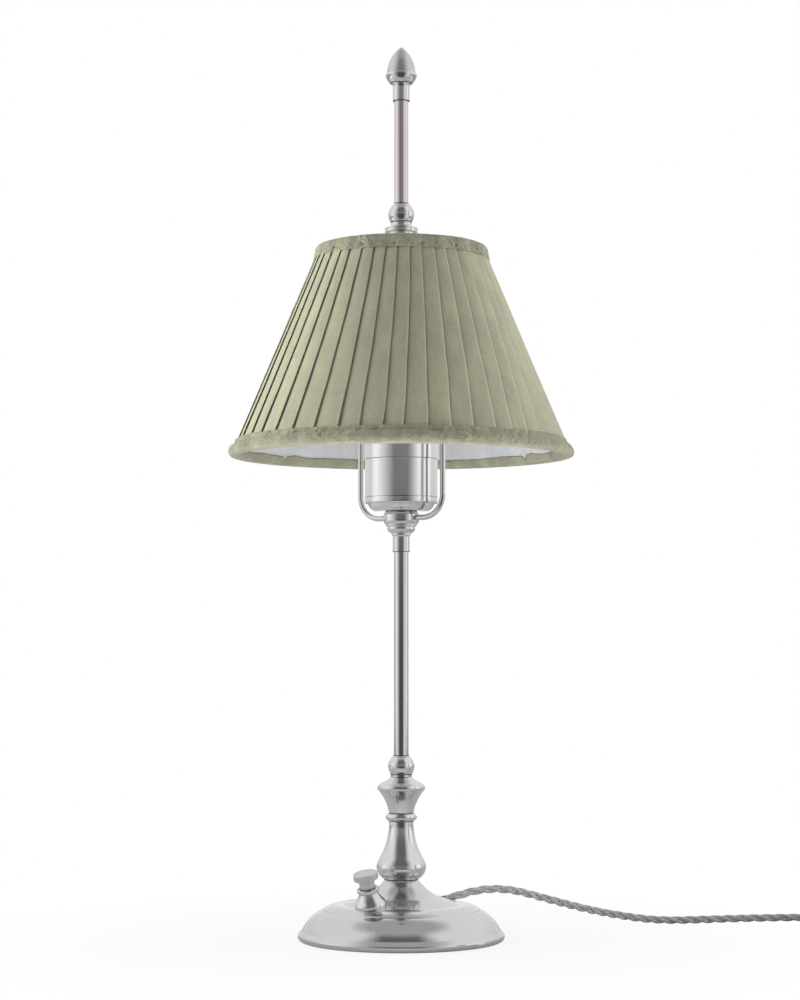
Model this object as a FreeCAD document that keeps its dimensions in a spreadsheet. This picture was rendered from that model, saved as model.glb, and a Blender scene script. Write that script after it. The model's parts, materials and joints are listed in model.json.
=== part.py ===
import FreeCAD, Part
import math
import os
import re
import Sketcher

# A candlestick lamp: a domed base with a tilted push switch, a turned baluster, a tube stem, a
# two-rod yoke round the lampholder, a pleated fabric shade and an acorn finial on an upper tube.
# The lamp stands on its felt at height 0 with its stem on the Z axis. Its front is -Y.
# Sizes are millimetres and degrees.

SIZES = {
    # the threaded tube that clamps the stack, and the clearances
    "rod_radius": 4.0,
    "rod_bore": 2.8,
    "rod_floor_gap": 9.0,
    "bore_clearance": 0.1,
    "running_clearance": 0.06,
    # base: felt, cast weight, spun shell
    "felt_thickness": 1.6,
    "felt_edge_gap": 3.3,
    "shell_floor_gap": 0.4,
    "base_wall": 1.2,
    "base_rim_radius": 65.2,
    "base_foot_inset": 2.35,
    "base_rim_height": 4.4,
    "base_rim_crown": 1.1,
    "base_groove_radius": 62.9,
    "base_groove_height": 7.0,
    "base_shoulder_crown": 1.8,
    "base_kink_radius": 48.8,
    "base_kink_height": 20.2,
    "base_dome_crown": 1.2,
    "base_dome_radius": 37.2,
    "base_dome_height": 23.4,
    "base_flare_radius": 24.3,
    "base_flare_height": 27.6,
    "base_flare_crown": 1.15,
    "base_neck_radius": 10.8,
    "base_neck_height": 38.5,
    "weight_radius": 56.0,
    "weight_thickness": 9.0,
    "weight_boss_radius": 8.8,
    "weight_boss_foot_radius": 14.5,
    "weight_boss_foot_height": 13.0,
    "weight_boss_waist_height": 19.0,
    "nut_pocket_radius": 10.0,
    "nut_pocket_depth": 14.0,
    "wire_slot_width": 5.0,
    "wire_slot_reach": 29.0,
    "washer_radius": 8.5,
    "washer_thickness": 1.5,
    "nut_across_flats": 13.0,
    "nut_thickness": 4.0,
    # baluster
    "vase_foot_radius": 9.4,
    "vase_foot_crown": 1.6,
    "vase_belly_radius": 15.7,
    "vase_belly_height": 7.7,
    "vase_shoulder_crown": 0.4,
    "vase_shoulder_radius": 13.9,
    "vase_shoulder_height": 13.6,
    "vase_waist_crown": 1.3,
    "vase_neck_radius": 7.7,
    "vase_neck_height": 34.0,
    "vase_height": 37.0,
    "ring_crown": 2.2,
    "ring_height": 4.8,
    "cup_bowl_crown": 1.0,
    "cup_bowl_radius": 14.2,
    "cup_bowl_height": 14.1,
    "cup_rim_crown": 1.05,
    "cup_rim_radius": 13.85,
    "cup_rim_height": 18.4,
    "cup_ridge_radius": 11.9,
    "cup_ridge_height": 19.7,
    "cup_neck_radius": 6.7,
    "cup_neck_height": 23.0,
    "cup_height": 24.7,
    "ball_radius": 8.3,
    "ball_top_radius": 4.9,
    # stem, collar, stepped cup and hub
    "stem_radius": 4.65,
    "stem_length": 136.8,
    "collar_socket_depth": 7.0,
    "collar_lip_radius": 5.6,
    "collar_lip_height": 1.0,
    "collar_radius": 5.4,
    "collar_length": 9.4,
    "collar_ring_radius": 6.25,
    "collar_height": 11.6,
    "step_bowl_radius": 8.95,
    "step_bowl_height": 2.5,
    "step_bowl_crown": 0.5,
    "step_lip_height": 4.1,
    "step_rim_radius": 10.05,
    "step_rim_height": 4.9,
    "step_height": 5.6,
    "hub_radius": 11.5,
    "hub_taper_height": 2.7,
    "hub_taper_crown": 0.3,
    "hub_height": 6.5,
    "hub_chamfer": 0.3,
    "hub_socket_height": 4.15,
    # yoke rods and top hub
    "yoke_azimuth": -33.0,
    "yoke_rod_radius": 1.75,
    "yoke_reach": 31.2,
    "yoke_bend": 14.5,
    "yoke_rise": 172.2,
    "yoke_socket_depth": 5.0,
    "socket_clearance": 0.03,
    "top_hub_height": 9.0,
    "top_hub_fillet": 1.0,
    # lampholder
    "seat_height": 1.9,
    "seat_top_radius": 9.8,
    "holder_radius": 23.3,
    "holder_wall": 0.9,
    "holder_bottom_radius": 16.4,
    "holder_groove_radius": 21.2,
    "holder_groove_height": 4.4,
    "holder_bottom_crown": 0.9,
    "holder_step_height": 6.0,
    "holder_line_height": 8.9,
    "holder_line_depth": 0.3,
    "holder_cap_height": 33.4,
    "holder_edge": 0.6,
    "holder_nut_thickness": 3.0,
    "insert_foot_radius": 15.5,
    "insert_recess_height": 6.0,
    "insert_shoulder_height": 8.0,
    "insert_height": 20.0,
    "contact_radius": 4.5,
    "contact_thickness": 1.2,
    "screw_radius": 14.3,
    "screw_wall": 0.5,
    "screw_height": 23.0,
    "shell_proud": 0.3,
    "shell_height": 25.6,
    "shell_lip_width": 2.2,
    # bulb
    "bulb_cap_radius": 13.2,
    "bulb_cap_height": 26.0,
    "bulb_cone_height": 5.5,
    "bulb_contact_radius": 4.0,
    "bulb_radius": 27.5,
    "bulb_centre_height": 44.5,
    "bulb_shoulder_radius": 24.0,
    "bulb_neck_radius": 12.9,
    "bulb_neck_height": 6.0,
    "bulb_flank_crown": 1.0,
    "bulb_wall": 0.8,
    # shade
    "shade_bottom_radius": 109.4,
    "shade_top_radius": 52.5,
    "shade_height": 136.0,
    "shade_washer_rise": 2.1,
    "shade_azimuth": 24.0,
    "pleat_count": 47,
    "pleat_depth": 1.5,
    "pleat_backing": 0.7,
    "pleat_skew": 5.5,
    "pleat_phase": 4.05,
    "pleat_step": 0.7,
    "wire_radius": 1.3,
    "wire_clearance": 0.05,
    "lining_thickness": 0.8,
    "lining_end_gap": 4.2,
    "cover_end_gap": 1.2,
    "ring_end_gap": 2.6,
    "band_skin": 0.8,
    "band_gap": 0.1,
    "bottom_band_height": 11.2,
    "bottom_band_lip": 1.0,
    "bottom_band_crown": 1.6,
    "bottom_band_inner_height": 6.0,
    "top_band_height": 9.2,
    "top_band_lip": 1.6,
    "top_band_crown": 0.5,
    "top_band_inner_height": 6.0,
    "arm_slot_clearance": 0.3,
    # spider and stud
    "spider_radius": 14.5,
    "spider_thickness": 1.5,
    "stud_shoulder_radius": 5.2,
    "stud_root_radius": 3.5,
    "stud_root_depth": 6.0,
    "stud_thread_radius": 3.0,
    "stud_thread_length": 33.0,
    "shade_axial_gap": 0.2,
    # clamp collar, upper ball, upper tube, finial
    "clamp_radius": 8.5,
    "clamp_body_height": 5.0,
    "clamp_flange_radius": 10.6,
    "clamp_flange_low": 5.6,
    "clamp_flange_high": 7.2,
    "clamp_flange_crown": 0.4,
    "clamp_waist_radius": 6.75,
    "clamp_waist_height": 11.0,
    "clamp_waist_crown": 1.0,
    "clamp_height": 12.0,
    "upper_ball_radius": 8.45,
    "upper_ball_top_radius": 4.8,
    "upper_tube_radius": 4.56,
    "upper_tube_length": 67.2,
    "finial_collar_radius": 5.5,
    "finial_collar_height": 8.9,
    "finial_spigot_length": 8.0,
    "acorn_foot_radius": 6.6,
    "acorn_foot_height": 2.6,
    "acorn_foot_crown": 0.2,
    "acorn_bowl_radius": 7.4,
    "acorn_cup_height": 7.2,
    "acorn_cup_radius": 10.25,
    "acorn_cup_crown": 0.3,
    "acorn_rim_height": 1.5,
    "acorn_rim_radius": 9.8,
    "acorn_rim_crown": 0.2,
    "acorn_nut_radius": 9.35,
    "acorn_shoulder_radius": 7.85,
    "acorn_shoulder_height": 7.7,
    "acorn_shoulder_crown": 0.22,
    "acorn_point_radius": 1.6,
    "acorn_point_height": 16.6,
    "acorn_point_crown": 0.68,
    "acorn_height": 17.4,
    # push switch
    "switch_offset": 33.8,
    "switch_azimuth": 34.3,
    "switch_tilt": 16.0,
    "switch_rise": 0.35,
    "bell_skirt": 1.6,
    "bell_seat_gap": 0.03,
    "bell_radius": 9.9,
    "bell_wall": 0.8,
    "bell_edge_height": 0.9,
    "bell_shoulder_radius": 8.6,
    "bell_shoulder_height": 4.0,
    "bell_shoulder_crown": 0.35,
    "bell_neck_radius": 5.9,
    "bell_neck_height": 9.0,
    "bell_neck_crown": 0.25,
    "bell_lip_radius": 6.9,
    "bell_lip_height": 10.0,
    "bell_height": 12.0,
    "bell_lip_edge": 0.6,
    "bell_recess_radius": 6.0,
    "bell_recess_depth": 1.2,
    "button_stem_radius": 4.8,
    "button_stem_foot": 3.4,
    "button_disc_radius": 7.65,
    "button_disc_height": 17.7,
    "button_disc_thickness": 4.0,
    "button_edge": 0.5,
    "switch_neck_radius": 5.2,
    "switch_nut_radius": 7.5,
    "switch_nut_thickness": 2.2,
    "switch_can_radius": 7.0,
    "switch_can_length": 8.0,
    # terminal block and wires
    "block_length": 18.0,
    "block_width": 11.0,
    "block_height": 9.0,
    "block_offset": 24.0,
    "block_screw_radius": 1.6,
    "block_screw_pitch": 8.0,
    "block_screw_depth": 3.0,
    "wire_thickness": 1.8,
    "wire_spread": 1.15,
    "wire_bend": 4.0,
    "wire_top_reserve": 0.2,
    # cord outlet
    "outlet_offset": 28.9,
    "outlet_azimuth": 7.0,
    "outlet_elevation": 16.0,
    "bush_radius": 3.25,
    "bush_proud": 0.4,
    "bush_clearance": 0.2,
    "grip_radius": 4.6,
    "grip_start": 9.6,
    "grip_length": 5.0,
    "grip_floor": 1.0,
    # cord, coil and plug
    "cord_diameter": 5.2,
    "cord_clearance": 0.06,
    "cord_sides": 8,
    "coil_x": 316.0,
    "coil_edge_y": 106.0,
    "coil_rest_height": 2.7,
    "coil_inner_radius": 20.9,
    "coil_pitch": 5.7,
    "coil_half_turns": 7,
    "plug_relief_length": 26.0,
    "plug_relief_radius": 4.6,
    "plug_relief_root_radius": 6.2,
    "plug_grip_radius": 12.5,
    "plug_grip_length": 20.0,
    "plug_head_radius": 18.5,
    "plug_head_length": 15.0,
    "plug_taper_length": 5.0,
    "plug_edge": 1.2,
    "plug_floor_gap": 0.2,
    "plug_pin_radius": 2.4,
    "plug_pin_length": 19.0,
    "plug_pin_pitch": 19.0,
    "plug_clip_width": 8.0,
    "plug_clip_thickness": 1.4,
    "plug_clip_length": 11.0,
}

# The cord's hand-laid route beyond its straight outlet run, to the start of the coil.
LEAD_ROUTE = [
    (52.0, 9.3, 31.8),
    (70.0, 18.0, 30.6),
    (88.0, 28.5, 25.0),
    (106.0, 42.0, 18.9),
    (125.0, 56.0, 13.0),
    (144.0, 69.5, 8.2),
    (163.0, 80.0, 4.4),
    (182.0, 87.2, 2.8),
    (204.0, 93.6, 2.7),
    (227.0, 99.4, 2.7),
    (250.0, 103.4, 2.7),
    (272.0, 105.5, 2.7),
    (292.0, 106.0, 2.7),
]
OUTLET_RUN = 6.5  # the route's straight run ends this far outside the base

# The cord's hand-laid way from the coil's end to the plug, from the coil's end, along -Y.
TAIL_ROUTE = [
    (0.0, -14.0, 0.0),
    (-4.5, -30.0, 3.4),
    (-11.5, -46.0, 8.0),
    (-14.0, -62.0, 10.3),
]
TAIL_END = (-14.0, -76.0, 10.3)

doc = FreeCAD.newDocument("candlestick_lamp")
sheet = doc.addObject("Spreadsheet::Sheet", "Sizes")
for row, (word, number) in enumerate(SIZES.items(), start=1):
    sheet.set(f"A{row}", word)
    sheet.set(f"B{row}", str(number))
    sheet.setAlias(f"B{row}", word)
doc.recompute()

SIZE_WORD = re.compile(r"\b[a-z]+(?:_[a-z]+)+\b")
pieces = []


# ---------------------------------------------------------------- sizes and placements

def bound(expression):
    """Writes an expression of size names as one that reads the sheet."""
    return SIZE_WORD.sub(lambda match: "Sizes." + match.group(0), str(expression))


def size(expression):
    """The present value of an expression of sizes."""
    result = sheet.evalExpression(bound(expression))
    return float(getattr(result, "Value", result))


def place(piece, x="0", y="0", z="0", yaw="0", pitch="0"):
    """Ties a piece's placement to the sheet: tilted by pitch towards +X, then turned by yaw."""
    place_text = f"placement(vector({bound(x)}; {bound(y)}; {bound(z)}); "
    turn_text = f"rotation({bound(yaw)}; {bound(pitch)}; 0))"
    piece.setExpression("Placement", place_text + turn_text)


def new_body(name, **where):
    """A body whose name and label are the node's name."""
    body = doc.addObject("PartDesign::Body", name)
    body.Label = name
    place(body, **where)
    pieces.append(body)
    return body


# ---------------------------------------------------------------- sketches

def sketch_on(body, name, role="XZ_Plane", offset=None):
    """An empty sketch on one of the body's own origin planes; offset is a placement expression."""
    sketch = body.newObject("Sketcher::SketchObject", f"{body.Name}_{name}")
    support = next(plane for plane in body.Origin.OriginFeatures if plane.Role == role)
    sketch.AttachmentSupport = [(support, "")]
    sketch.MapMode = "FlatFace"
    if offset:
        sketch.setExpression("AttachmentOffset", bound(offset))
    return sketch


def fix_point(sketch, geometry, end, x, y):
    """Ties one point of a sketch to two expressions."""
    for kind, expression in (("DistanceX", x), ("DistanceY", y)):
        rule = Sketcher.Constraint(kind, -1, 1, geometry, end, size(expression))
        index = sketch.addConstraint(rule)
        if SIZE_WORD.search(str(expression)):
            sketch.setExpression(f"Constraints[{index}]", bound(expression))


def fix_radius(sketch, geometry, expression):
    """Ties the radius of an arc or circle to an expression."""
    index = sketch.addConstraint(Sketcher.Constraint("Radius", geometry, size(expression)))
    sketch.setExpression(f"Constraints[{index}]", bound(expression))


def arc_between(start, end, radius, bulges_right):
    """An arc of under a half circle, and the numbers of its ends at start and at end."""
    chord = end - start
    middle = (start + end) * 0.5
    depth = math.sqrt(max(radius * radius - chord.Length * chord.Length / 4, 0.0))
    left = FreeCAD.Vector(-chord.y, chord.x, 0).normalize()
    centre = middle + left * (depth if bulges_right else -depth)
    first, last = (start, end) if bulges_right else (end, start)
    from_angle = math.atan2(first.y - centre.y, first.x - centre.x)
    to_angle = math.atan2(last.y - centre.y, last.x - centre.x)
    circle = Part.Circle(centre, FreeCAD.Vector(0, 0, 1), radius)
    arc = Part.ArcOfCircle(circle, from_angle, to_angle)
    return arc, (1, 2) if bulges_right else (2, 1)


def crown_radius(before, corner, crown):
    """The radius of an arc that stands a crown's height off its chord."""
    chord = f"(({corner[0]}) - ({before[0]}))^2 + (({corner[1]}) - ({before[1]}))^2"
    return f"({chord}) / (8 * ({crown})) + ({crown}) / 2"


def cap_radius(foot, rise):
    """The radius of a spherical cap with its foot's radius and its rise."""
    return f"(({foot})^2 + ({rise})^2) / (2 * ({rise}))"


def draw_outline(sketch, corners, closed=True):
    """Draws an outline that travels with its material on the left.

    A corner is (x, y), reached by a line. An arc to it adds how it is shaped: ("out", crown) bulges
    outwards, ("in", crown) hollows, and ("round", radius) bulges outwards with that radius.
    """
    last = len(corners) if closed else len(corners) - 1
    ends = []
    for index in range(last):
        before = corners[index]
        corner = corners[(index + 1) % len(corners)]
        start = FreeCAD.Vector(size(before[0]), size(before[1]), 0)
        end = FreeCAD.Vector(size(corner[0]), size(corner[1]), 0)
        if len(corner) == 2:
            geometry = sketch.addGeometry(Part.LineSegment(start, end), False)
            ends.append((geometry, 1, 2))
            continue
        kind, amount = corner[2], corner[3]
        radius = amount if kind == "round" else crown_radius(before, corner, amount)
        arc, (near, far) = arc_between(start, end, size(radius), kind != "in")
        geometry = sketch.addGeometry(arc, False)
        ends.append((geometry, near, far))
        fix_radius(sketch, geometry, radius)
    joins = range(last) if closed else range(last - 1)
    for index in joins:
        edge, _, far = ends[index]
        following, near, _ = ends[(index + 1) % last]
        sketch.addConstraint(Sketcher.Constraint("Coincident", edge, far, following, near))
    for index in range(last):
        fix_point(sketch, ends[index][0], ends[index][1], corners[index][0], corners[index][1])
    if not closed:
        fix_point(sketch, ends[-1][0], ends[-1][2], corners[-1][0], corners[-1][1])


def draw_circle(sketch, radius, x="0", y="0"):
    """A circle of the given radius about a point."""
    centre = FreeCAD.Vector(size(x), size(y), 0)
    geometry = sketch.addGeometry(Part.Circle(centre, FreeCAD.Vector(0, 0, 1), size(radius)), False)
    fix_point(sketch, geometry, 3, x, y)
    fix_radius(sketch, geometry, radius)


def draw_box(sketch, x_low, y_low, x_high, y_high):
    """A rectangle between two corners."""
    draw_outline(sketch, [(x_low, y_low), (x_high, y_low), (x_high, y_high), (x_low, y_high)])


def draw_hexagon(sketch, across_flats):
    """A hexagon about the origin, with two corners on the X axis."""
    corner_radius = f"({across_flats}) / (2 * cos(30))"
    corners = []
    for index in range(6):
        turn = 60 * index
        corners.append((f"({corner_radius}) * cos({turn})", f"({corner_radius}) * sin({turn})"))
    draw_outline(sketch, corners)


# ---------------------------------------------------------------- features

def revolve(body, corners, name="profile"):
    """Adds a solid turned about the body's own Z axis from an outline of (radius, height)."""
    sketch = sketch_on(body, name)
    draw_outline(sketch, corners)
    feature = body.newObject("PartDesign::Revolution", f"{body.Name}_{name}_turned")
    feature.Profile = sketch
    feature.ReferenceAxis = (sketch, ["V_Axis"])
    feature.Angle = 360
    return feature


def turned(name, corners, **where):
    """A turned piece."""
    body = new_body(name, **where)
    revolve(body, corners)
    return body


def pad(body, sketch, length, up=True):
    """Pads a sketch by a length along its normal, or against it."""
    feature = body.newObject("PartDesign::Pad", f"{sketch.Name}_pad")
    feature.Profile = sketch
    feature.setExpression("Length", bound(length))
    feature.Reversed = not up
    return feature


def pocket(body, sketch, length, up=False, midplane=False):
    """Pockets a sketch by a length against its normal, along it, or half to each side."""
    feature = body.newObject("PartDesign::Pocket", f"{sketch.Name}_pocket")
    feature.Profile = sketch
    feature.setExpression("Length", bound(length))
    feature.Reversed = up
    feature.Midplane = midplane
    return feature


def pipe(body, radius, x, y, path, name="pipe"):
    """Sweeps a circle, drawn on the YZ plane about (x, y), along an open path on the XZ plane."""
    section = sketch_on(body, f"{name}_section", "YZ_Plane", f"placement(vector(0; 0; {path[0][0]}); "
                        "rotation(0; 0; 0))")
    draw_circle(section, radius, x, y)
    spine = sketch_on(body, f"{name}_path", "XZ_Plane", f"placement(vector(0; 0; -({x})); "
                      "rotation(0; 0; 0))")
    draw_outline(spine, path, closed=False)
    feature = body.newObject("PartDesign::AdditivePipe", f"{body.Name}_{name}")
    feature.Profile = section
    feature.Spine = spine
    return feature


def pattern(body, features, count):
    """Repeats features round the body's Z axis."""
    feature = body.newObject("PartDesign::PolarPattern", f"{body.Name}_pattern")
    feature.Originals = features
    axis = next(line for line in body.Origin.OriginFeatures if line.Role == "Z_Axis")
    feature.Axis = (axis, [""])
    feature.Angle = 360
    feature.Occurrences = count
    body.Tip = feature
    return feature


def group(name, members):
    """A node of several separate solids."""
    compound = doc.addObject("Part::Compound", name)
    compound.Label = name
    compound.Links = members
    pieces.append(compound)
    return compound


BORE = "(rod_radius + bore_clearance)"


# ---------------------------------------------------------------- base

WEIGHT_SEAT = "felt_thickness"
FLOOR_Z = "shell_floor_gap"
FOOT_RADIUS = "(base_rim_radius - base_foot_inset)"
NECK_UNDERSIDE = "(base_neck_height - base_wall)"
CONE_SLOPE = "((base_flare_height - base_dome_height) / (base_dome_radius - base_flare_radius))"


def cone_height(radius):
    """The height of the base's straight cone at a radius."""
    return f"(base_flare_height - (({radius}) - base_flare_radius) * {CONE_SLOPE})"


def make_base_shell():
    """The spun base: rolled rim, convex shoulder, kink ring, dome, flare and neck."""
    body = new_body("base_shell")
    wall = "base_wall"
    outside = [
        (FOOT_RADIUS, FLOOR_Z),
        ("base_rim_radius", "base_rim_height", "out", "base_rim_crown"),
        ("base_groove_radius", "base_groove_height"),
        ("base_kink_radius", "base_kink_height", "out", "base_shoulder_crown"),
        ("base_dome_radius", "base_dome_height", "out", "base_dome_crown"),
        ("base_flare_radius", "base_flare_height"),
        ("base_neck_radius", "base_neck_height", "in", "base_flare_crown"),
    ]
    inside = [
        (BORE, "base_neck_height"),
        (BORE, NECK_UNDERSIDE),
        (f"base_neck_radius - 0.8 * {wall}", NECK_UNDERSIDE),
        (f"base_flare_radius - 0.4 * {wall}", f"base_flare_height - {wall}", "out",
         "base_flare_crown"),
        (f"base_dome_radius - 0.2 * {wall}", f"base_dome_height - {wall}"),
        (f"base_kink_radius - 0.7 * {wall}", f"base_kink_height - {wall}", "in", "base_dome_crown"),
        (f"base_groove_radius - {wall}", f"base_groove_height - 0.3 * {wall}", "in",
         "base_shoulder_crown"),
        (f"base_rim_radius - {wall}", "base_rim_height"),
        (f"{FOOT_RADIUS} - {wall}", FLOOR_Z),
    ]
    revolve(body, outside + inside)
    switch_hole = sketch_on(body, "switch_hole", "XY_Plane", SWITCH_FRAME)
    draw_circle(switch_hole, "switch_neck_radius + bore_clearance")
    pocket(body, switch_hole, "4 * base_wall", midplane=True)
    cord_hole = sketch_on(body, "cord_hole", "XY_Plane", OUTLET_FRAME)
    draw_circle(cord_hole, "bush_radius + bore_clearance")
    pocket(body, cord_hole, "14 * base_wall", midplane=True)


def frame_text(x, y, z, yaw, pitch):
    """A placement expression, for an attachment."""
    return f"placement(vector({x}; {y}; {z}); rotation({yaw}; {pitch}; 0))"


SWITCH_WHERE = {
    "x": "-switch_offset * sin(switch_azimuth)",
    "y": "-switch_offset * cos(switch_azimuth)",
    "z": f"{cone_height('switch_offset')} + switch_rise",
    "yaw": "270 - switch_azimuth",
    "pitch": "switch_tilt",
}
SWITCH_FRAME = frame_text(**SWITCH_WHERE)
OUTLET_WHERE = {
    "x": "outlet_offset * cos(outlet_azimuth)",
    "y": "outlet_offset * sin(outlet_azimuth)",
    "z": cone_height("outlet_offset"),
    "yaw": "outlet_azimuth",
    "pitch": "90 - outlet_elevation",
}
OUTLET_FRAME = frame_text(**OUTLET_WHERE)


def make_base_weight():
    """The cast disc with a central boss up to the neck, a nut pocket and a wire slot below."""
    boss_top = f"{NECK_UNDERSIDE} - {WEIGHT_SEAT}"
    body = turned("base_weight", [
        ("nut_pocket_radius", "0"),
        ("weight_radius", "0"),
        ("weight_radius", "weight_thickness"),
        ("weight_boss_foot_radius", "weight_thickness"),
        ("weight_boss_foot_radius", "weight_boss_foot_height"),
        ("weight_boss_radius", "weight_boss_waist_height"),
        ("weight_boss_radius", boss_top),
        (BORE, boss_top),
        (BORE, "nut_pocket_depth"),
        ("nut_pocket_radius", "nut_pocket_depth"),
    ], z=WEIGHT_SEAT)
    slot = sketch_on(body, "wire_slot", "XY_Plane")
    draw_box(slot, "-wire_slot_width / 2", "0", "wire_slot_width / 2", "wire_slot_reach")
    pocket(body, slot, "wire_slot_width", up=True)
    drop = sketch_on(body, "wire_drop", "XY_Plane")
    draw_box(drop, "-wire_slot_width / 2", "wire_slot_reach - wire_slot_width",
             "wire_slot_width / 2", "wire_slot_reach")
    pocket(body, drop, "weight_thickness + 1", up=True)


def make_base_fixings():
    """Felt, washer, lock nut and the threaded tube that clamps everything on the axis."""
    turned("base_felt_pad", [
        ("0", "0"),
        (f"{FOOT_RADIUS} - base_wall - felt_edge_gap", "0"),
        (f"{FOOT_RADIUS} - base_wall - felt_edge_gap", "felt_thickness"),
        ("0", "felt_thickness"),
    ])
    pocket_roof = f"{WEIGHT_SEAT} + nut_pocket_depth"
    turned("base_washer", [
        (BORE, "0"),
        ("washer_radius", "0"),
        ("washer_radius", "washer_thickness"),
        (BORE, "washer_thickness"),
    ], z=f"{pocket_roof} - washer_thickness")
    make_hex_nut("base_locknut", "nut_thickness",
                 f"{pocket_roof} - washer_thickness - nut_thickness")
    turned("threaded_tube", [
        ("rod_bore", "0"),
        ("rod_radius - 0.4", "0"),
        ("rod_radius", "0.4"),
        ("rod_radius", f"{ROD_LENGTH} - 0.4"),
        ("rod_radius - 0.4", ROD_LENGTH),
        ("rod_bore", ROD_LENGTH),
    ], z="rod_floor_gap")


def make_hex_nut(name, thickness, z):
    """A hexagon nut on the threaded tube, its top corners turned off."""
    body = new_body(name, z=z)
    hexagon = sketch_on(body, "hexagon", "XY_Plane")
    draw_hexagon(hexagon, "nut_across_flats")
    pad(body, hexagon, thickness)
    hole = sketch_on(body, "hole", "XY_Plane")
    draw_circle(hole, BORE)
    pocket(body, hole, f"{thickness} * 2", up=True)


# ---------------------------------------------------------------- the stack on the axis

BALL_BELOW = "sqrt(ball_radius^2 - cup_neck_radius^2)"
BALL_ABOVE = "sqrt(ball_radius^2 - ball_top_radius^2)"
VASE_Z = "base_neck_height"
RING_Z = f"({VASE_Z} + vase_height)"
CUP_Z = f"({RING_Z} + ring_height)"
BALL_Z = f"({CUP_Z} + cup_height)"
STEM_Z = f"({BALL_Z} + {BALL_BELOW} + {BALL_ABOVE})"
COLLAR_Z = f"({STEM_Z} + stem_length - collar_socket_depth)"
STEP_Z = f"({COLLAR_Z} + collar_height)"
HUB_Z = f"({STEP_Z} + step_height)"
SEAT_Z = f"({HUB_Z} + hub_height)"
HOLDER_Z = f"({SEAT_Z} + seat_height)"
HOLDER_FLOOR_Z = f"({HOLDER_Z} + holder_wall)"
INSERT_TOP_Z = f"({HOLDER_FLOOR_Z} + insert_height)"
BULB_Z = f"({INSERT_TOP_Z} + contact_thickness)"
GLASS_Z = f"({BULB_Z} + bulb_cap_height)"
YOKE_Z = f"({HUB_Z} + hub_socket_height)"
TOP_HUB_Z = f"({YOKE_Z} + yoke_rise - top_hub_height / 2)"
STUD_Z = f"({TOP_HUB_Z} + top_hub_height)"
SPIDER_Z = f"({STUD_Z} + shade_axial_gap)"
SHADE_Z = f"({SPIDER_Z} - shade_washer_rise - shade_height)"
CLAMP_Z = f"({STUD_Z} + spider_thickness + 2 * shade_axial_gap)"
UPPER_BALL_Z = f"({CLAMP_Z} + clamp_height)"
UPPER_BALL_FOOT = "clamp_waist_radius"
UPPER_BELOW = f"sqrt(upper_ball_radius^2 - {UPPER_BALL_FOOT}^2)"
UPPER_ABOVE = "sqrt(upper_ball_radius^2 - upper_ball_top_radius^2)"
UPPER_TUBE_Z = f"({UPPER_BALL_Z} + {UPPER_BELOW} + {UPPER_ABOVE})"
FINIAL_Z = f"({UPPER_TUBE_Z} + upper_tube_length)"
ACORN_CUP_Z = f"({FINIAL_Z} + finial_collar_height)"
ACORN_Z = f"({ACORN_CUP_Z} + acorn_cup_height + acorn_rim_height)"
ROD_LENGTH = f"({HOLDER_FLOOR_Z} + holder_nut_thickness + 0.8 - rod_floor_gap)"


def make_baluster():
    """The vase, bead ring, flared cup and ball."""
    turned("baluster_vase", [
        (BORE, "0"),
        ("vase_foot_radius", "0"),
        ("vase_belly_radius", "vase_belly_height", "out", "vase_foot_crown"),
        ("vase_shoulder_radius", "vase_shoulder_height", "out", "vase_shoulder_crown"),
        ("vase_neck_radius", "vase_neck_height", "in", "vase_waist_crown"),
        ("vase_neck_radius", "vase_height"),
        (BORE, "vase_height"),
    ], z=VASE_Z)
    turned("baluster_ring", [
        (BORE, "0"),
        ("vase_neck_radius", "0"),
        ("vase_neck_radius", "ring_height", "out", "ring_crown"),
        (BORE, "ring_height"),
    ], z=RING_Z)
    turned("baluster_cup", [
        (BORE, "0"),
        ("vase_neck_radius", "0"),
        ("cup_bowl_radius", "cup_bowl_height", "in", "cup_bowl_crown"),
        ("cup_rim_radius", "cup_rim_height", "out", "cup_rim_crown"),
        ("cup_ridge_radius", "cup_ridge_height"),
        ("cup_neck_radius", "cup_neck_height", "in", "0.3"),
        ("cup_neck_radius", "cup_height"),
        (BORE, "cup_height"),
    ], z=CUP_Z)
    turned("lower_ball", [
        (BORE, "0"),
        ("cup_neck_radius", "0"),
        ("ball_radius", BALL_BELOW, "round", "ball_radius"),
        ("ball_top_radius", f"{BALL_BELOW} + {BALL_ABOVE}", "round", "ball_radius"),
        (BORE, f"{BALL_BELOW} + {BALL_ABOVE}"),
    ], z=BALL_Z)


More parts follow.
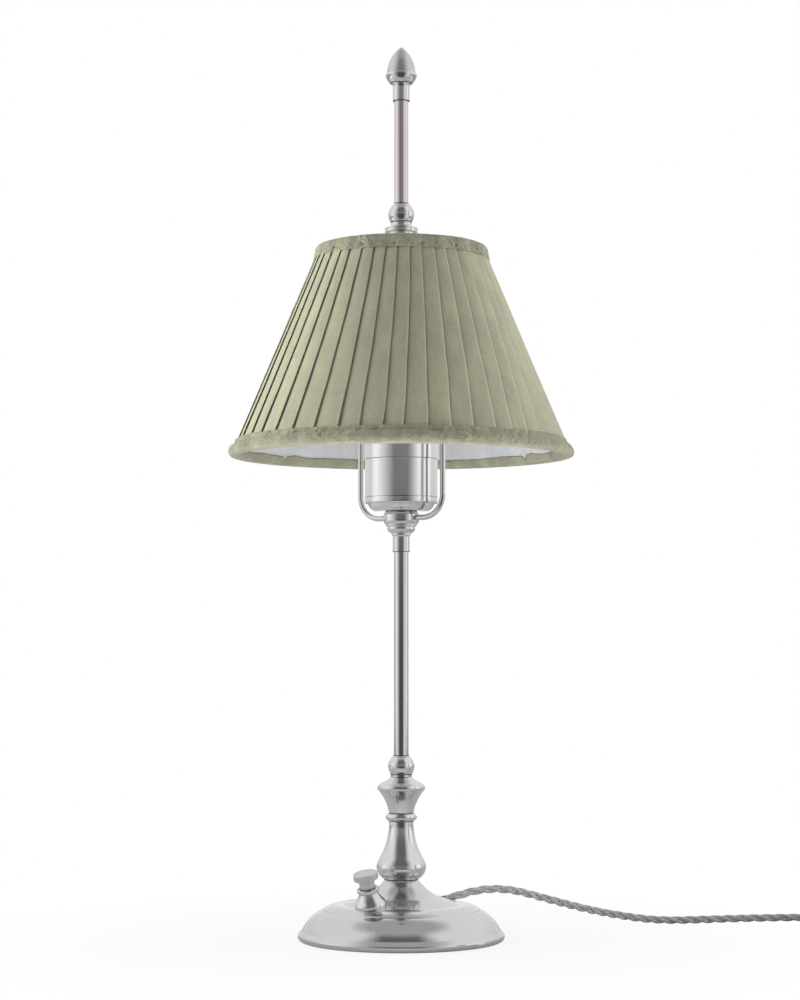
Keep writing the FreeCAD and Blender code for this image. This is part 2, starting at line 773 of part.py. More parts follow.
def make_stem():
    """The stem tube, the collar on its top, the stepped cup and the hub."""
    turned("stem_tube", [
        (BORE, "0"),
        ("stem_radius", "0"),
        ("stem_radius", "stem_length"),
        (BORE, "stem_length"),
    ], z=STEM_Z)
    socket = "(stem_radius + bore_clearance)"
    turned("stem_collar", [
        (socket, "0"),
        ("collar_lip_radius", "0"),
        ("collar_lip_radius", "collar_lip_height"),
        ("collar_radius", "collar_lip_height"),
        ("collar_radius", "collar_length"),
        ("collar_ring_radius", "collar_height - 1", "in", "0.15"),
        ("collar_ring_radius", "collar_height"),
        (BORE, "collar_height"),
        (BORE, "collar_socket_depth"),
        (socket, "collar_socket_depth"),
    ], z=COLLAR_Z)
    turned("yoke_cup", [
        (BORE, "0"),
        ("collar_ring_radius", "0"),
        ("step_bowl_radius", "step_bowl_height", "out", "step_bowl_crown"),
        ("step_bowl_radius", "step_lip_height"),
        ("step_rim_radius", "step_rim_height"),
        ("step_rim_radius", "step_height"),
        (BORE, "step_height"),
    ], z=STEP_Z)
    hub = turned("yoke_hub", [
        (BORE, "0"),
        ("step_rim_radius", "0"),
        ("hub_radius", "hub_taper_height", "out", "hub_taper_crown"),
        ("hub_radius", "hub_height - hub_chamfer"),
        ("hub_radius - hub_chamfer", "hub_height"),
        (BORE, "hub_height"),
    ], z=HUB_Z, yaw="yoke_azimuth")
    drill_sockets(hub, "hub_socket_height")


def drill_sockets(hub, height):
    """Drills a hub's two opposite sockets for the yoke rods, along its own X axis."""
    for side, turn in (("front", ""), ("rear", "-")):
        reach = "hub_radius - yoke_socket_depth"
        seat = f"placement(vector(0; 0; {turn}({reach})); rotation(0; 0; 0))"
        socket = sketch_on(hub, f"{side}_socket", "YZ_Plane", seat)
        draw_circle(socket, "yoke_rod_radius + socket_clearance", "0", height)
        pocket(hub, socket, "yoke_socket_depth * 2", up=(side == "front"))


def make_yoke():
    """The two bent rods and the hub that joins their tops."""
    start = "(hub_radius - yoke_socket_depth)"
    path = [
        (start, "0"),
        ("yoke_reach - yoke_bend", "0"),
        ("yoke_reach", "yoke_bend", "round", "yoke_bend"),
        ("yoke_reach", "yoke_rise - yoke_bend"),
        ("yoke_reach - yoke_bend", "yoke_rise", "round", "yoke_bend"),
        (start, "yoke_rise"),
    ]
    for name, turn in (("yoke_rod_front", "yoke_azimuth"), ("yoke_rod_rear", "yoke_azimuth + 180")):
        rod = new_body(name, z=YOKE_Z, yaw=turn)
        pipe(rod, "yoke_rod_radius", "0", "0", path)
    top = turned("yoke_top_hub", [
        ("0", "0"),
        ("hub_radius - top_hub_fillet", "0"),
        ("hub_radius", "top_hub_fillet", "round", "top_hub_fillet"),
        ("hub_radius", "top_hub_height - top_hub_fillet"),
        ("hub_radius - top_hub_fillet", "top_hub_height", "round", "top_hub_fillet"),
        ("stud_root_radius + bore_clearance", "top_hub_height"),
        ("stud_root_radius + bore_clearance", "top_hub_height - stud_root_depth"),
        ("0", "top_hub_height - stud_root_depth"),
    ], z=TOP_HUB_Z, yaw="yoke_azimuth")
    drill_sockets(top, "top_hub_height / 2")


# ---------------------------------------------------------------- lampholder and bulb

def make_lampholder():
    """Seat washer, lower cap, upper shell and what they hold."""
    turned("holder_seat", [
        (BORE, "0"),
        ("hub_radius - hub_chamfer", "0"),
        ("seat_top_radius", "seat_height"),
        (BORE, "seat_height"),
    ], z=SEAT_Z)
    inner = "(holder_radius - holder_wall)"
    turned("lampholder_cap", [
        (BORE, "0"),
        ("holder_bottom_radius", "0"),
        ("holder_groove_radius", "holder_groove_height", "out", "holder_bottom_crown"),
        ("holder_radius - 0.6", "holder_groove_height + 0.3"),
        ("holder_radius", "holder_step_height", "out", "0.2"),
        ("holder_radius", "holder_line_height - holder_line_depth"),
        ("holder_radius - holder_line_depth", "holder_line_height"),
        ("holder_radius", "holder_line_height + holder_line_depth"),
        ("holder_radius", "holder_cap_height - holder_edge"),
        ("holder_radius - holder_edge", "holder_cap_height", "round", "holder_edge"),
        (inner, "holder_cap_height"),
        (inner, "holder_step_height"),
        ("holder_groove_radius - holder_wall", "holder_groove_height + 0.8 * holder_wall"),
        ("holder_bottom_radius - 0.3 * holder_wall", "holder_wall", "in", "holder_bottom_crown"),
        (BORE, "holder_wall"),
    ], z=HOLDER_Z)
    make_hex_nut("holder_nut", "holder_nut_thickness", HOLDER_FLOOR_Z)
    rim = "(holder_radius - holder_wall - bore_clearance)"
    recess = "(nut_across_flats / 2 + 2)"
    turned("holder_insert", [
        (recess, "0"),
        ("insert_foot_radius - bore_clearance", "0"),
        (rim, "insert_shoulder_height"),
        (rim, "insert_height"),
        ("rod_bore", "insert_height"),
        ("rod_bore", "insert_recess_height"),
        (recess, "insert_recess_height"),
    ], z=HOLDER_FLOOR_Z)
    turned("centre_contact", [
        ("0", "0"),
        ("contact_radius", "0"),
        ("contact_radius", "contact_thickness / 2"),
        ("0", "contact_thickness", "round", cap_radius("contact_radius", "contact_thickness / 2")),
    ], z=INSERT_TOP_Z)
    turned("screw_shell", [
        ("screw_radius - screw_wall", "0"),
        ("screw_radius", "0"),
        ("screw_radius", "screw_height"),
        ("screw_radius - screw_wall", "screw_height"),
    ], z=INSERT_TOP_Z)
    seam = "(holder_cap_height - holder_wall - insert_height)"
    shell_inner = f"({rim} - holder_wall)"
    top = f"{seam} + shell_height"
    turned("lampholder_shell", [
        (shell_inner, "0"),
        (rim, "0"),
        (rim, seam),
        ("holder_radius + shell_proud", seam),
        ("holder_radius + shell_proud", f"{top} - 1"),
        ("holder_radius + shell_proud - 1", top, "round", "1"),
        (f"{shell_inner} - shell_lip_width", top),
        (f"{shell_inner} - shell_lip_width", f"{top} - holder_wall"),
        (shell_inner, f"{top} - holder_wall"),
    ], z=INSERT_TOP_Z)


def make_bulb():
    """A screw bulb: its cap and its thin glass."""
    turned("bulb_cap", [
        ("0", "0"),
        ("bulb_contact_radius", "0"),
        ("bulb_cap_radius", "bulb_cone_height", "out", "0.8"),
        ("bulb_cap_radius", "bulb_cap_height"),
        ("0", "bulb_cap_height"),
    ], z=BULB_Z)
    shoulder = "(bulb_centre_height - sqrt(bulb_radius^2 - bulb_shoulder_radius^2))"
    inner = "(bulb_radius - bulb_wall)"
    turned("bulb_glass", [
        ("bulb_neck_radius", "0"),
        ("bulb_neck_radius", "bulb_neck_height"),
        ("bulb_shoulder_radius", shoulder, "in", "bulb_flank_crown"),
        ("bulb_radius", "bulb_centre_height", "round", "bulb_radius"),
        ("0", "bulb_centre_height + bulb_radius", "round", "bulb_radius"),
        ("0", f"bulb_centre_height + {inner}"),
        (inner, "bulb_centre_height", "in", f"{inner} * (1 - sqrt(2) / 2)"),
        ("bulb_shoulder_radius - bulb_wall", shoulder, "in", "0.85"),
        ("bulb_neck_radius - bulb_wall", "bulb_neck_height", "out", "bulb_flank_crown"),
        ("bulb_neck_radius - bulb_wall", "0"),
    ], z=GLASS_Z)


# ---------------------------------------------------------------- shade

SHADE_SLOPE = "((shade_bottom_radius - shade_top_radius) / shade_height)"
WIRE_SPAN = f"(wire_radius * sqrt(1 + {SHADE_SLOPE}^2))"
COVER_INSIDE = "(pleat_depth + pleat_backing)"
WIRE_LAYER = f"({COVER_INSIDE} + wire_clearance + {WIRE_SPAN})"
LINING_OUTSIDE = f"({WIRE_LAYER} + {WIRE_SPAN} + wire_clearance)"
LINING_INSIDE = f"({LINING_OUTSIDE} + lining_thickness)"
BAND_INSIDE = f"({LINING_INSIDE} + band_gap)"


def on_cone(inset, height):
    """A point that stands inside the shade's fold line by an inset, at a height above its rim."""
    return (f"shade_bottom_radius - {SHADE_SLOPE} * ({height}) - ({inset})", height)


def make_shade_lining():
    """The plain cone that lines the shade."""
    low = "cover_end_gap"
    high = "shade_height - lining_end_gap"
    turned("shade_lining", [
        on_cone(LINING_INSIDE, low),
        on_cone(LINING_OUTSIDE, low),
        on_cone(LINING_OUTSIDE, high),
        on_cone(LINING_INSIDE, high),
    ], z=SHADE_Z)


def make_shade_cover():
    """The knife-pleated cover: each fold rises to its edge and steps down to the next fold."""
    count = int(size("pleat_count"))
    pitch = 360 / count
    wires = []
    levels = [("cover_end_gap", -size("pleat_skew") / 2),
              ("shade_height - cover_end_gap", size("pleat_skew") / 2)]
    for height, skew in levels:
        crest = size(on_cone("0", height)[0])
        valley = crest - size("pleat_depth")
        z = size(height)
        corners = []
        for index in range(count):
            edge = math.radians(-90 + size("pleat_phase") + index * pitch + skew)
            corners.append(FreeCAD.Vector(crest * math.cos(edge), crest * math.sin(edge), z))
            foot = edge + math.radians(size("pleat_step"))
            corners.append(FreeCAD.Vector(valley * math.cos(foot), valley * math.sin(foot), z))
        wires.append(Part.makePolygon(corners + corners[:1]))
    folds = Part.makeLoft(wires, True, True)
    low, high = size("cover_end_gap"), size("shade_height - cover_end_gap")
    inner_low = size(on_cone(COVER_INSIDE, "cover_end_gap")[0])
    inner_high = size(on_cone(COVER_INSIDE, "shade_height - cover_end_gap")[0])
    core = Part.makeCone(inner_low, inner_high, high - low, FreeCAD.Vector(0, 0, low))
    cover = doc.addObject("Part::Feature", "shade_cover")
    cover.Label = "shade_cover"
    cover.Shape = folds.cut(core)
    cover.Placement = FreeCAD.Placement(FreeCAD.Vector(0, 0, size(SHADE_Z)), FreeCAD.Rotation())
    pieces.append(cover)


def make_shade_frame():
    """Top and bottom rings, three struts, and the spider that carries them."""
    levels = {"shade_ring_bottom": "ring_end_gap", "shade_ring_top": "shade_height - ring_end_gap"}
    for name, height in levels.items():
        ring = doc.addObject("Part::Torus", name)
        ring.Label = name
        ring.setExpression("Radius1", bound(on_cone(WIRE_LAYER, height)[0]))
        ring.setExpression("Radius2", bound("wire_radius"))
        place(ring, z=f"{SHADE_Z} + {height}")
        pieces.append(ring)
    struts = []
    low = "(ring_end_gap + wire_radius)"
    rise = f"(shade_height - 2 * {low})"
    for index in range(3):
        strut = doc.addObject("Part::Cylinder", f"strut_{index + 1}")
        strut.setExpression("Radius", bound("wire_radius"))
        strut.setExpression("Height", bound(f"{rise} * sqrt(1 + {SHADE_SLOPE}^2)"))
        turn = f"(shade_azimuth + {120 * index})"
        foot = f"({on_cone(WIRE_LAYER, low)[0]})"
        place(strut, x=f"{foot} * cos({turn})", y=f"{foot} * sin({turn})", z=f"{SHADE_Z} + {low}",
              yaw=turn, pitch=f"-atan({SHADE_SLOPE})")
        struts.append(strut)
    group("shade_struts", struts)
    make_spider()


def make_spider():
    """A washer that turns on the stud's shoulder, with three arms out to the top ring."""
    body = turned("shade_spider", [
        ("stud_shoulder_radius + running_clearance", "0"),
        ("spider_radius", "0"),
        ("spider_radius", "spider_thickness"),
        ("stud_shoulder_radius + running_clearance", "spider_thickness"),
    ], z=SPIDER_Z, yaw="shade_azimuth")
    inner = "(spider_radius - 2)"
    outer = f"({on_cone(WIRE_LAYER, 'shade_height - ring_end_gap')[0]} - wire_radius)"
    drop = "(shade_washer_rise + ring_end_gap + spider_thickness / 2)"
    tilt = f"90 + atan({drop} / ({outer} - {inner})) / 1 deg"
    seat = frame_text(inner, "0", "spider_thickness / 2", "0", tilt)
    section = sketch_on(body, "arm_section", "XY_Plane", seat)
    draw_circle(section, "wire_radius")
    arm = pad(body, section, f"sqrt({drop}^2 + ({outer} - {inner})^2)")
    pattern(body, [arm], 3)


def make_band(name, rim, height, inner_height, lip, crown, sign):
    """A padded band folded over a rim: rim is its height, sign is 1 where the band stands on it."""
    def level(distance):
        return f"{rim} {'+' if sign > 0 else '-'} ({distance})"

    outside = [
        on_cone(f"-{lip}", level("1")),
        on_cone("-(band_gap + 0.4)", level(height)) + ("out", crown),
        on_cone("-band_gap", level(height)),
        on_cone("-band_gap", level("cover_end_gap - band_gap")),
    ]
    inside = [
        on_cone(BAND_INSIDE, level("cover_end_gap - band_gap")),
        on_cone(BAND_INSIDE, level(inner_height)),
        on_cone(f"{BAND_INSIDE} + band_skin", level(inner_height)),
        on_cone(f"{BAND_INSIDE} + band_skin", level("0.8")),
        on_cone(f"{BAND_INSIDE} - 1", level("0")) + ("out", "0.25"),
        on_cone("1", level("0")),
        on_cone(f"-{lip}", level("1")) + ("out", "0.3"),
    ]
    corners = outside + inside[:-1]
    corners[0] = inside[-1]
    if sign < 0:
        corners = mirror_travel(corners)
    return turned(name, corners, z=SHADE_Z)


def mirror_travel(corners):
    """Reverses an outline's travel, keeping each arc on its own edge."""
    count = len(corners)
    points = [corner[:2] for corner in corners]
    shapes = [corner[2:] for corner in corners]
    return [points[-index] + shapes[(1 - index) % count] for index in range(count)]


def make_bands():
    """The top and bottom bands; the top one is slotted for the spider's arms."""
    make_band("shade_band_bottom", "0", "bottom_band_height", "bottom_band_inner_height",
              "bottom_band_lip", "bottom_band_crown", 1)
    top = make_band("shade_band_top", "shade_height", "top_band_height", "top_band_inner_height",
                    "top_band_lip", "top_band_crown", -1)
    place(top, z=SHADE_Z, yaw="shade_azimuth")
    seat = frame_text("0", "0", "shade_height - lining_end_gap", "0", "0")
    slot = sketch_on(top, "arm_slot", "XY_Plane", seat)
    reach = f"({on_cone(WIRE_LAYER, 'shade_height')[0]})"
    half = "(wire_radius + arm_slot_clearance)"
    draw_box(slot, f"{reach} / 2", f"-{half}", reach, half)
    cut = pocket(top, slot, "lining_end_gap * 2", up=True)
    pattern(top, [cut], 3)


# ---------------------------------------------------------------- above the shade

def make_top():
    """The shouldered stud, clamp collar, upper ball, upper tube, collar and acorn."""
    shoulder = "spider_thickness + 2 * shade_axial_gap"
    tip = "acorn_height - acorn_point_height"
    turned("top_stud", [
        ("0", "-stud_root_depth"),
        ("stud_root_radius", "-stud_root_depth"),
        ("stud_root_radius", "0"),
        ("stud_shoulder_radius", "0"),
        ("stud_shoulder_radius", shoulder),
        ("stud_thread_radius", shoulder),
        ("stud_thread_radius", "stud_thread_length"),
        ("0", "stud_thread_length"),
    ], z=STUD_Z)
    bore = "(stud_thread_radius + bore_clearance)"
    turned("clamp_collar", [
        (bore, "0"),
        ("clamp_radius", "0"),
        ("clamp_radius", "clamp_body_height"),
        ("clamp_flange_radius", "clamp_flange_low"),
        ("clamp_flange_radius", "clamp_flange_high"),
        ("clamp_flange_radius - 0.6", "clamp_flange_high + 1.3", "out", "clamp_flange_crown"),
        ("clamp_waist_radius", "clamp_waist_height", "in", "clamp_waist_crown"),
        ("clamp_waist_radius", "clamp_height"),
        (bore, "clamp_height"),
    ], z=CLAMP_Z)
    turned("upper_ball", [
        (bore, "0"),
        (UPPER_BALL_FOOT, "0"),
        ("upper_ball_radius", UPPER_BELOW, "round", "upper_ball_radius"),
        ("upper_ball_top_radius", f"{UPPER_BELOW} + {UPPER_ABOVE}", "round", "upper_ball_radius"),
        (bore, f"{UPPER_BELOW} + {UPPER_ABOVE}"),
    ], z=UPPER_BALL_Z)
    turned("upper_tube", [
        (bore, "0"),
        ("upper_tube_radius", "0"),
        ("upper_tube_radius", "upper_tube_length"),
        (bore, "upper_tube_length"),
    ], z=UPPER_TUBE_Z)
    turned("finial_collar", [
        ("0", "-finial_spigot_length"),
        ("stud_thread_radius", "-finial_spigot_length"),
        ("stud_thread_radius", "0"),
        ("finial_collar_radius", "0"),
        ("finial_collar_radius", "finial_collar_height"),
        ("0", "finial_collar_height"),
    ], z=FINIAL_Z)
    turned("finial_cup", [
        ("0", "0"),
        ("finial_collar_radius", "0"),
        ("acorn_foot_radius", "acorn_foot_height", "in", "acorn_foot_crown"),
        ("acorn_bowl_radius", "acorn_foot_height"),
        ("acorn_cup_radius", "acorn_cup_height", "out", "acorn_cup_crown"),
        ("acorn_rim_radius", "acorn_cup_height + acorn_rim_height", "out", "acorn_rim_crown"),
        ("0", "acorn_cup_height + acorn_rim_height"),
    ], z=ACORN_CUP_Z)
    turned("finial_acorn", [
        ("0", "0"),
        ("acorn_nut_radius", "0"),
        ("acorn_shoulder_radius", "acorn_shoulder_height", "out", "acorn_shoulder_crown"),
        ("acorn_point_radius", "acorn_point_height", "out", "acorn_point_crown"),
        ("0", "acorn_height", "round", cap_radius("acorn_point_radius", tip)),
    ], z=ACORN_Z)


# ---------------------------------------------------------------- switch

def make_switch():
    """The bell, cut to sit on the base's curve, its sliding button, and the switch it caps."""
    guide = "(button_stem_radius + running_clearance)"
    blank = turned("bell_blank", [
        ("bell_radius - bell_wall", "-bell_skirt"),
        ("bell_radius - 0.2", "-bell_skirt"),
        ("bell_radius - 0.2", "0"),
        ("bell_radius", "bell_edge_height", "out", "0.1"),
        ("bell_shoulder_radius", "bell_shoulder_height", "out", "bell_shoulder_crown"),
        ("bell_neck_radius", "bell_neck_height", "in", "bell_neck_crown"),
        ("bell_lip_radius", "bell_lip_height"),
        ("bell_lip_radius", "bell_height - bell_lip_edge"),
        ("bell_lip_radius - bell_lip_edge", "bell_height", "round", "bell_lip_edge"),
        ("bell_recess_radius", "bell_height"),
        ("bell_recess_radius", "bell_height - bell_recess_depth"),
        (guide, "bell_height - bell_recess_depth"),
        (guide, "bell_shoulder_height"),
        ("bell_shoulder_radius - bell_wall", "bell_shoulder_height - bell_wall"),
        ("bell_radius - bell_wall", "bell_edge_height"),
    ], **SWITCH_WHERE)
    gap = "bell_seat_gap"
    dome = turned("bell_seat", [
        ("0", "0"),
        ("base_kink_radius", "0"),
        ("base_kink_radius", f"base_kink_height + {gap}"),
        ("base_dome_radius", f"base_dome_height + {gap}", "out", "base_dome_crown"),
        ("base_flare_radius", f"base_flare_height + {gap}"),
        ("base_neck_radius", "base_neck_height", "in", "base_flare_crown"),
        ("0", "base_neck_height"),
    ])
    bell = doc.addObject("Part::Cut", "switch_bell")
    bell.Label = "switch_bell"
    bell.Base = blank
    bell.Tool = dome
    pieces.remove(blank)
    pieces.remove(dome)
    pieces.append(bell)
    disc_top = "(button_disc_height + button_disc_thickness)"
    turned("switch_button", [
        ("0", "button_stem_foot"),
        ("button_stem_radius", "button_stem_foot"),
        ("button_stem_radius", "button_disc_height"),
        ("button_disc_radius - button_edge", "button_disc_height"),
        ("button_disc_radius", "button_disc_height + button_edge", "round", "button_edge"),
        ("button_disc_radius", f"{disc_top} - button_edge"),
        ("button_disc_radius - button_edge", disc_top, "round", "button_edge"),
        ("0", disc_top),
    ], **SWITCH_WHERE)
    nut_high = "-(base_wall + switch_rise + 0.45)"
    nut_low = f"({nut_high} - switch_nut_thickness)"
    turned("switch_nut", [
        ("switch_neck_radius + bore_clearance", nut_low),
        ("switch_nut_radius", nut_low),
        ("switch_nut_radius", nut_high),
        ("switch_neck_radius + bore_clearance", nut_high),
    ], **SWITCH_WHERE)
    turned("switch_body", [
        ("0", f"{nut_low} - switch_can_length"),
        ("switch_can_radius - 0.8", f"{nut_low} - switch_can_length"),
        ("switch_can_radius", f"{nut_low} - switch_can_length + 0.8"),
        ("switch_can_radius", nut_low),
        ("switch_neck_radius", nut_low),
        ("switch_neck_radius", "0"),
        ("0", "0"),
    ], **SWITCH_WHERE)


# ---------------------------------------------------------------- wiring inside the base

def make_wiring():
    """The terminal block on the weight, and two wires up the threaded tube."""
    block = new_body("terminal_block", z=f"{WEIGHT_SEAT} + weight_thickness")
    foot = sketch_on(block, "foot", "XY_Plane")
    draw_box(foot, "-block_length / 2", "block_offset - block_width / 2", "block_length / 2",
             "block_offset + block_width / 2")
    pad(block, foot, "block_height")
    for side in ("-", ""):
        top = frame_text("0", "0", "block_height", "0", "0")
        screw = sketch_on(block, "screw_hole", "XY_Plane", top)
        draw_circle(screw, "block_screw_radius", f"{side}block_screw_pitch / 2", "block_offset")
        pocket(block, screw, "block_screw_depth")
    slot_mid = "(wire_slot_width / 2)"
    drop = "(wire_slot_reach - wire_slot_width / 2)"
    axis_top = f"({HOLDER_FLOOR_Z} + insert_height - wire_top_reserve - {WEIGHT_SEAT})"
    entry = "(weight_thickness)"
    path = [
        (drop, entry),
        (drop, f"{slot_mid} + wire_bend"),
        (f"{drop} - wire_bend", slot_mid, "in", "wire_bend * (1 - sqrt(2) / 2)"),
        ("wire_bend", slot_mid),
        ("0", f"{slot_mid} + wire_bend", "in", "wire_bend * (1 - sqrt(2) / 2)"),
        ("0", axis_top),
    ]
    for name, side in (("wire_live", "-"), ("wire_neutral", "")):
        body = new_body(name, z=WEIGHT_SEAT, yaw="90")
        across = f"({side}wire_spread)"
        seat = frame_text(drop, across, entry, "0", "0")
        section = sketch_on(body, "section", "XY_Plane", seat)
        draw_circle(section, "wire_thickness / 2")
        spine = sketch_on(body, "path", "XZ_Plane", frame_text("0", "0", f"-{across}", "0", "0"))
        draw_outline(spine, path, closed=False)
        feature = body.newObject("PartDesign::AdditivePipe", f"{name}_pipe")
        feature.Profile = section
        feature.Spine = spine


def make_cord_outlet():
    """The bush that lines the cord's hole, cut off along the shell, and the grip inside."""
    bush_bore = "(cord_diameter / 2 + bush_clearance)"
    bush = turned("cord_bush", [
        (bush_bore, "-grip_start"),
        ("bush_radius", "-grip_start"),
        ("bush_radius", "grip_start"),
        (bush_bore, "grip_start"),
    ], **OUTLET_WHERE)
    tilt = f"(90 - outlet_elevation - atan({CONE_SLOPE}) / 1 deg)"
    trim_seat = frame_text(f"-bush_proud * sin({tilt})", "0", f"bush_proud * cos({tilt})", "0",
                           f"-{tilt}")
    trim = sketch_on(bush, "trim", "XY_Plane", trim_seat)
    draw_circle(trim, "grip_start * 2")
    pocket(bush, trim, "grip_start * 2", up=True)
    bore = "(cord_diameter / 2 + cord_clearance)"
    grip_end = "(grip_start + grip_length)"
    turned("cord_grip", [
        ("0", f"-{grip_end}"),
        ("grip_radius", f"-{grip_end}"),
        ("grip_radius", "-grip_start"),
        (bore, "-grip_start"),
        (bore, f"-({grip_end} - grip_floor)"),
        ("0", f"-({grip_end} - grip_floor)"),
    ], **OUTLET_WHERE)


# ---------------------------------------------------------------- cord

def outlet_point(distance):
    """A point on the cord's straight outlet run, that far outside the base."""
    level = math.cos(math.radians(size("outlet_elevation")))
    across = size("outlet_offset") + distance * level
    turn = math.radians(size("outlet_azimuth"))
    rise = distance * math.sin(math.radians(size("outlet_elevation")))
    height = size(cone_height("outlet_offset")) + rise
    return FreeCAD.Vector(across * math.cos(turn), across * math.sin(turn), height)


def rounded_route(points, name):
    """Straight runs joined by tangent arcs, each as large as its two runs allow."""
    edges = []
    radii = []
    start = points[0]
    for before, corner, after in zip(points, points[1:], points[2:]):
        arrive = (corner - before).normalize()
        leave = (after - corner).normalize()
        reach = 0.45 * min((corner - before).Length, (after - corner).Length)
        half_turn = arrive.getAngle(leave) / 2
        radii.append(reach / math.tan(half_turn))
        into = corner - arrive * reach
        out_of = corner + leave * reach
        towards = (leave - arrive).normalize()
        centre = corner + towards * (radii[-1] / math.cos(half_turn))
        middle = centre - towards * radii[-1]
        edges.append(Part.LineSegment(start, into).toShape())
        edges.append(Part.Arc(into, middle, out_of).toShape())
        start = out_of
    edges.append(Part.LineSegment(start, points[-1]).toShape())
    print(name, "radii", [round(radius, 1) for radius in radii])
    return Part.Wire(edges)


def sweep_cord(name, wire):
    """A tube of a few flat sides along a smooth wire."""
    start = wire.OrderedEdges[0]
    here = start.valueAt(start.FirstParameter)
    along = start.tangentAt(start.FirstParameter).normalize()
    upright = FreeCAD.Vector(0, 0, 1)
    side = along.cross(upright).normalize()
    over = side.cross(along).normalize()
    sides = int(size("cord_sides"))
    radius = size("cord_diameter") / 2
    corners = []
    for index in range(sides):
        turn = 2 * math.pi * (index + 0.5) / sides
        corners.append(here + side * (radius * math.cos(turn)) + over * (radius * math.sin(turn)))
    section = Part.makePolygon(corners + corners[:1])
    tube = wire.makePipeShell([section], True, False)
    expected = Part.Face(section).Area * wire.Length
    print(name, "length", round(wire.Length, 1), "volume against section times length",
          round(tube.Volume / expected, 4))
    cord = doc.addObject("Part::Feature", name)
    cord.Label = name
    cord.Shape = tube
    pieces.append(cord)


def arc_edge(start, direction, end):
    """An arc that leaves start along a direction and reaches end."""
    chord = end - start
    axis = direction.cross(chord)
    to_centre = axis.cross(direction).normalize()
    radius = chord.Length ** 2 / (2 * chord.dot(to_centre))
    centre = start + to_centre * radius
    towards = (start + end) * 0.5 - centre
    if towards.Length < 1e-6:
        towards = direction
    middle = centre + towards.normalize() * radius
    return Part.Arc(start, middle, end).toShape()


def coil_wire():
    """The put-away coil: half turns that spiral in, climb a layer, and spiral out on top."""
    pitch = size("coil_pitch")
    inner = size("coil_inner_radius")
    count = int(size("coil_half_turns"))
    diameter = size("cord_diameter")
    here = FreeCAD.Vector(size("coil_x"), size("coil_edge_y"), size("coil_rest_height"))
    ahead = FreeCAD.Vector(1, 0, 0)
    edges = [Part.LineSegment(here - ahead * diameter, here).toShape()]
    steps = list(range(count, 0, -1)) + [0] + list(range(1, count))
    for order, step in enumerate(steps):
        radius = inner + step * pitch / 2
        climb = pitch if order == count else 0.0
        inwards = FreeCAD.Vector(ahead.y, -ahead.x, 0)
        end = here + inwards * (2 * radius) + FreeCAD.Vector(0, 0, climb)
        middle = (here + end) * 0.5 + ahead * ((end - here).Length / 2)
        edges.append(arc_edge(here, ahead, middle))
        edges.append(arc_edge(end, ahead, middle))
        here = end
        ahead = ahead * -1
    radius = inner + count * pitch / 2
    inwards = FreeCAD.Vector(ahead.y, -ahead.x, 0)
    end = here + inwards * radius + ahead * radius
    edges.append(arc_edge(here, ahead, end))
    tail = end + inwards * diameter
    edges.append(Part.LineSegment(end, tail).toShape())
    return Part.Wire(edges), tail


def least_gap(wire, diameter):
    """The least gap between stretches of a coil that aren't neighbours along it."""
    spacing = 1.5
    points = wire.discretize(Distance=spacing)
    skip = int(math.pi * size("coil_inner_radius") / spacing)
    least = float("inf")
    for index, point in enumerate(points):
        for other in points[index + skip:]:
            least = min(least, point.distanceToPoint(other))
    return least - diameter


def make_cord():
    """The lead from its grip to the coil, the coil, and the tail to the plug."""
    diameter = size("cord_diameter")
    inside = outlet_point(size("-(grip_start + grip_length - grip_floor)"))
    coil, coil_end = coil_wire()
    coil_start = FreeCAD.Vector(size("coil_x") - diameter, size("coil_edge_y"),
                                size("coil_rest_height"))
    route = [inside, outlet_point(OUTLET_RUN)]
    route += [FreeCAD.Vector(*point) for point in LEAD_ROUTE]
    route.append(coil_start)
    sweep_cord("cord_lead", rounded_route(route, "cord_lead"))
    sweep_cord("cord_coil", coil)
    print("cord_coil least gap", round(least_gap(coil, diameter), 2))
    tail = [coil_end] + [coil_end + FreeCAD.Vector(*step) for step in TAIL_ROUTE + [TAIL_END]]
    sweep_cord("cord_tail", rounded_route(tail, "cord_tail"))
    return tail[-1]


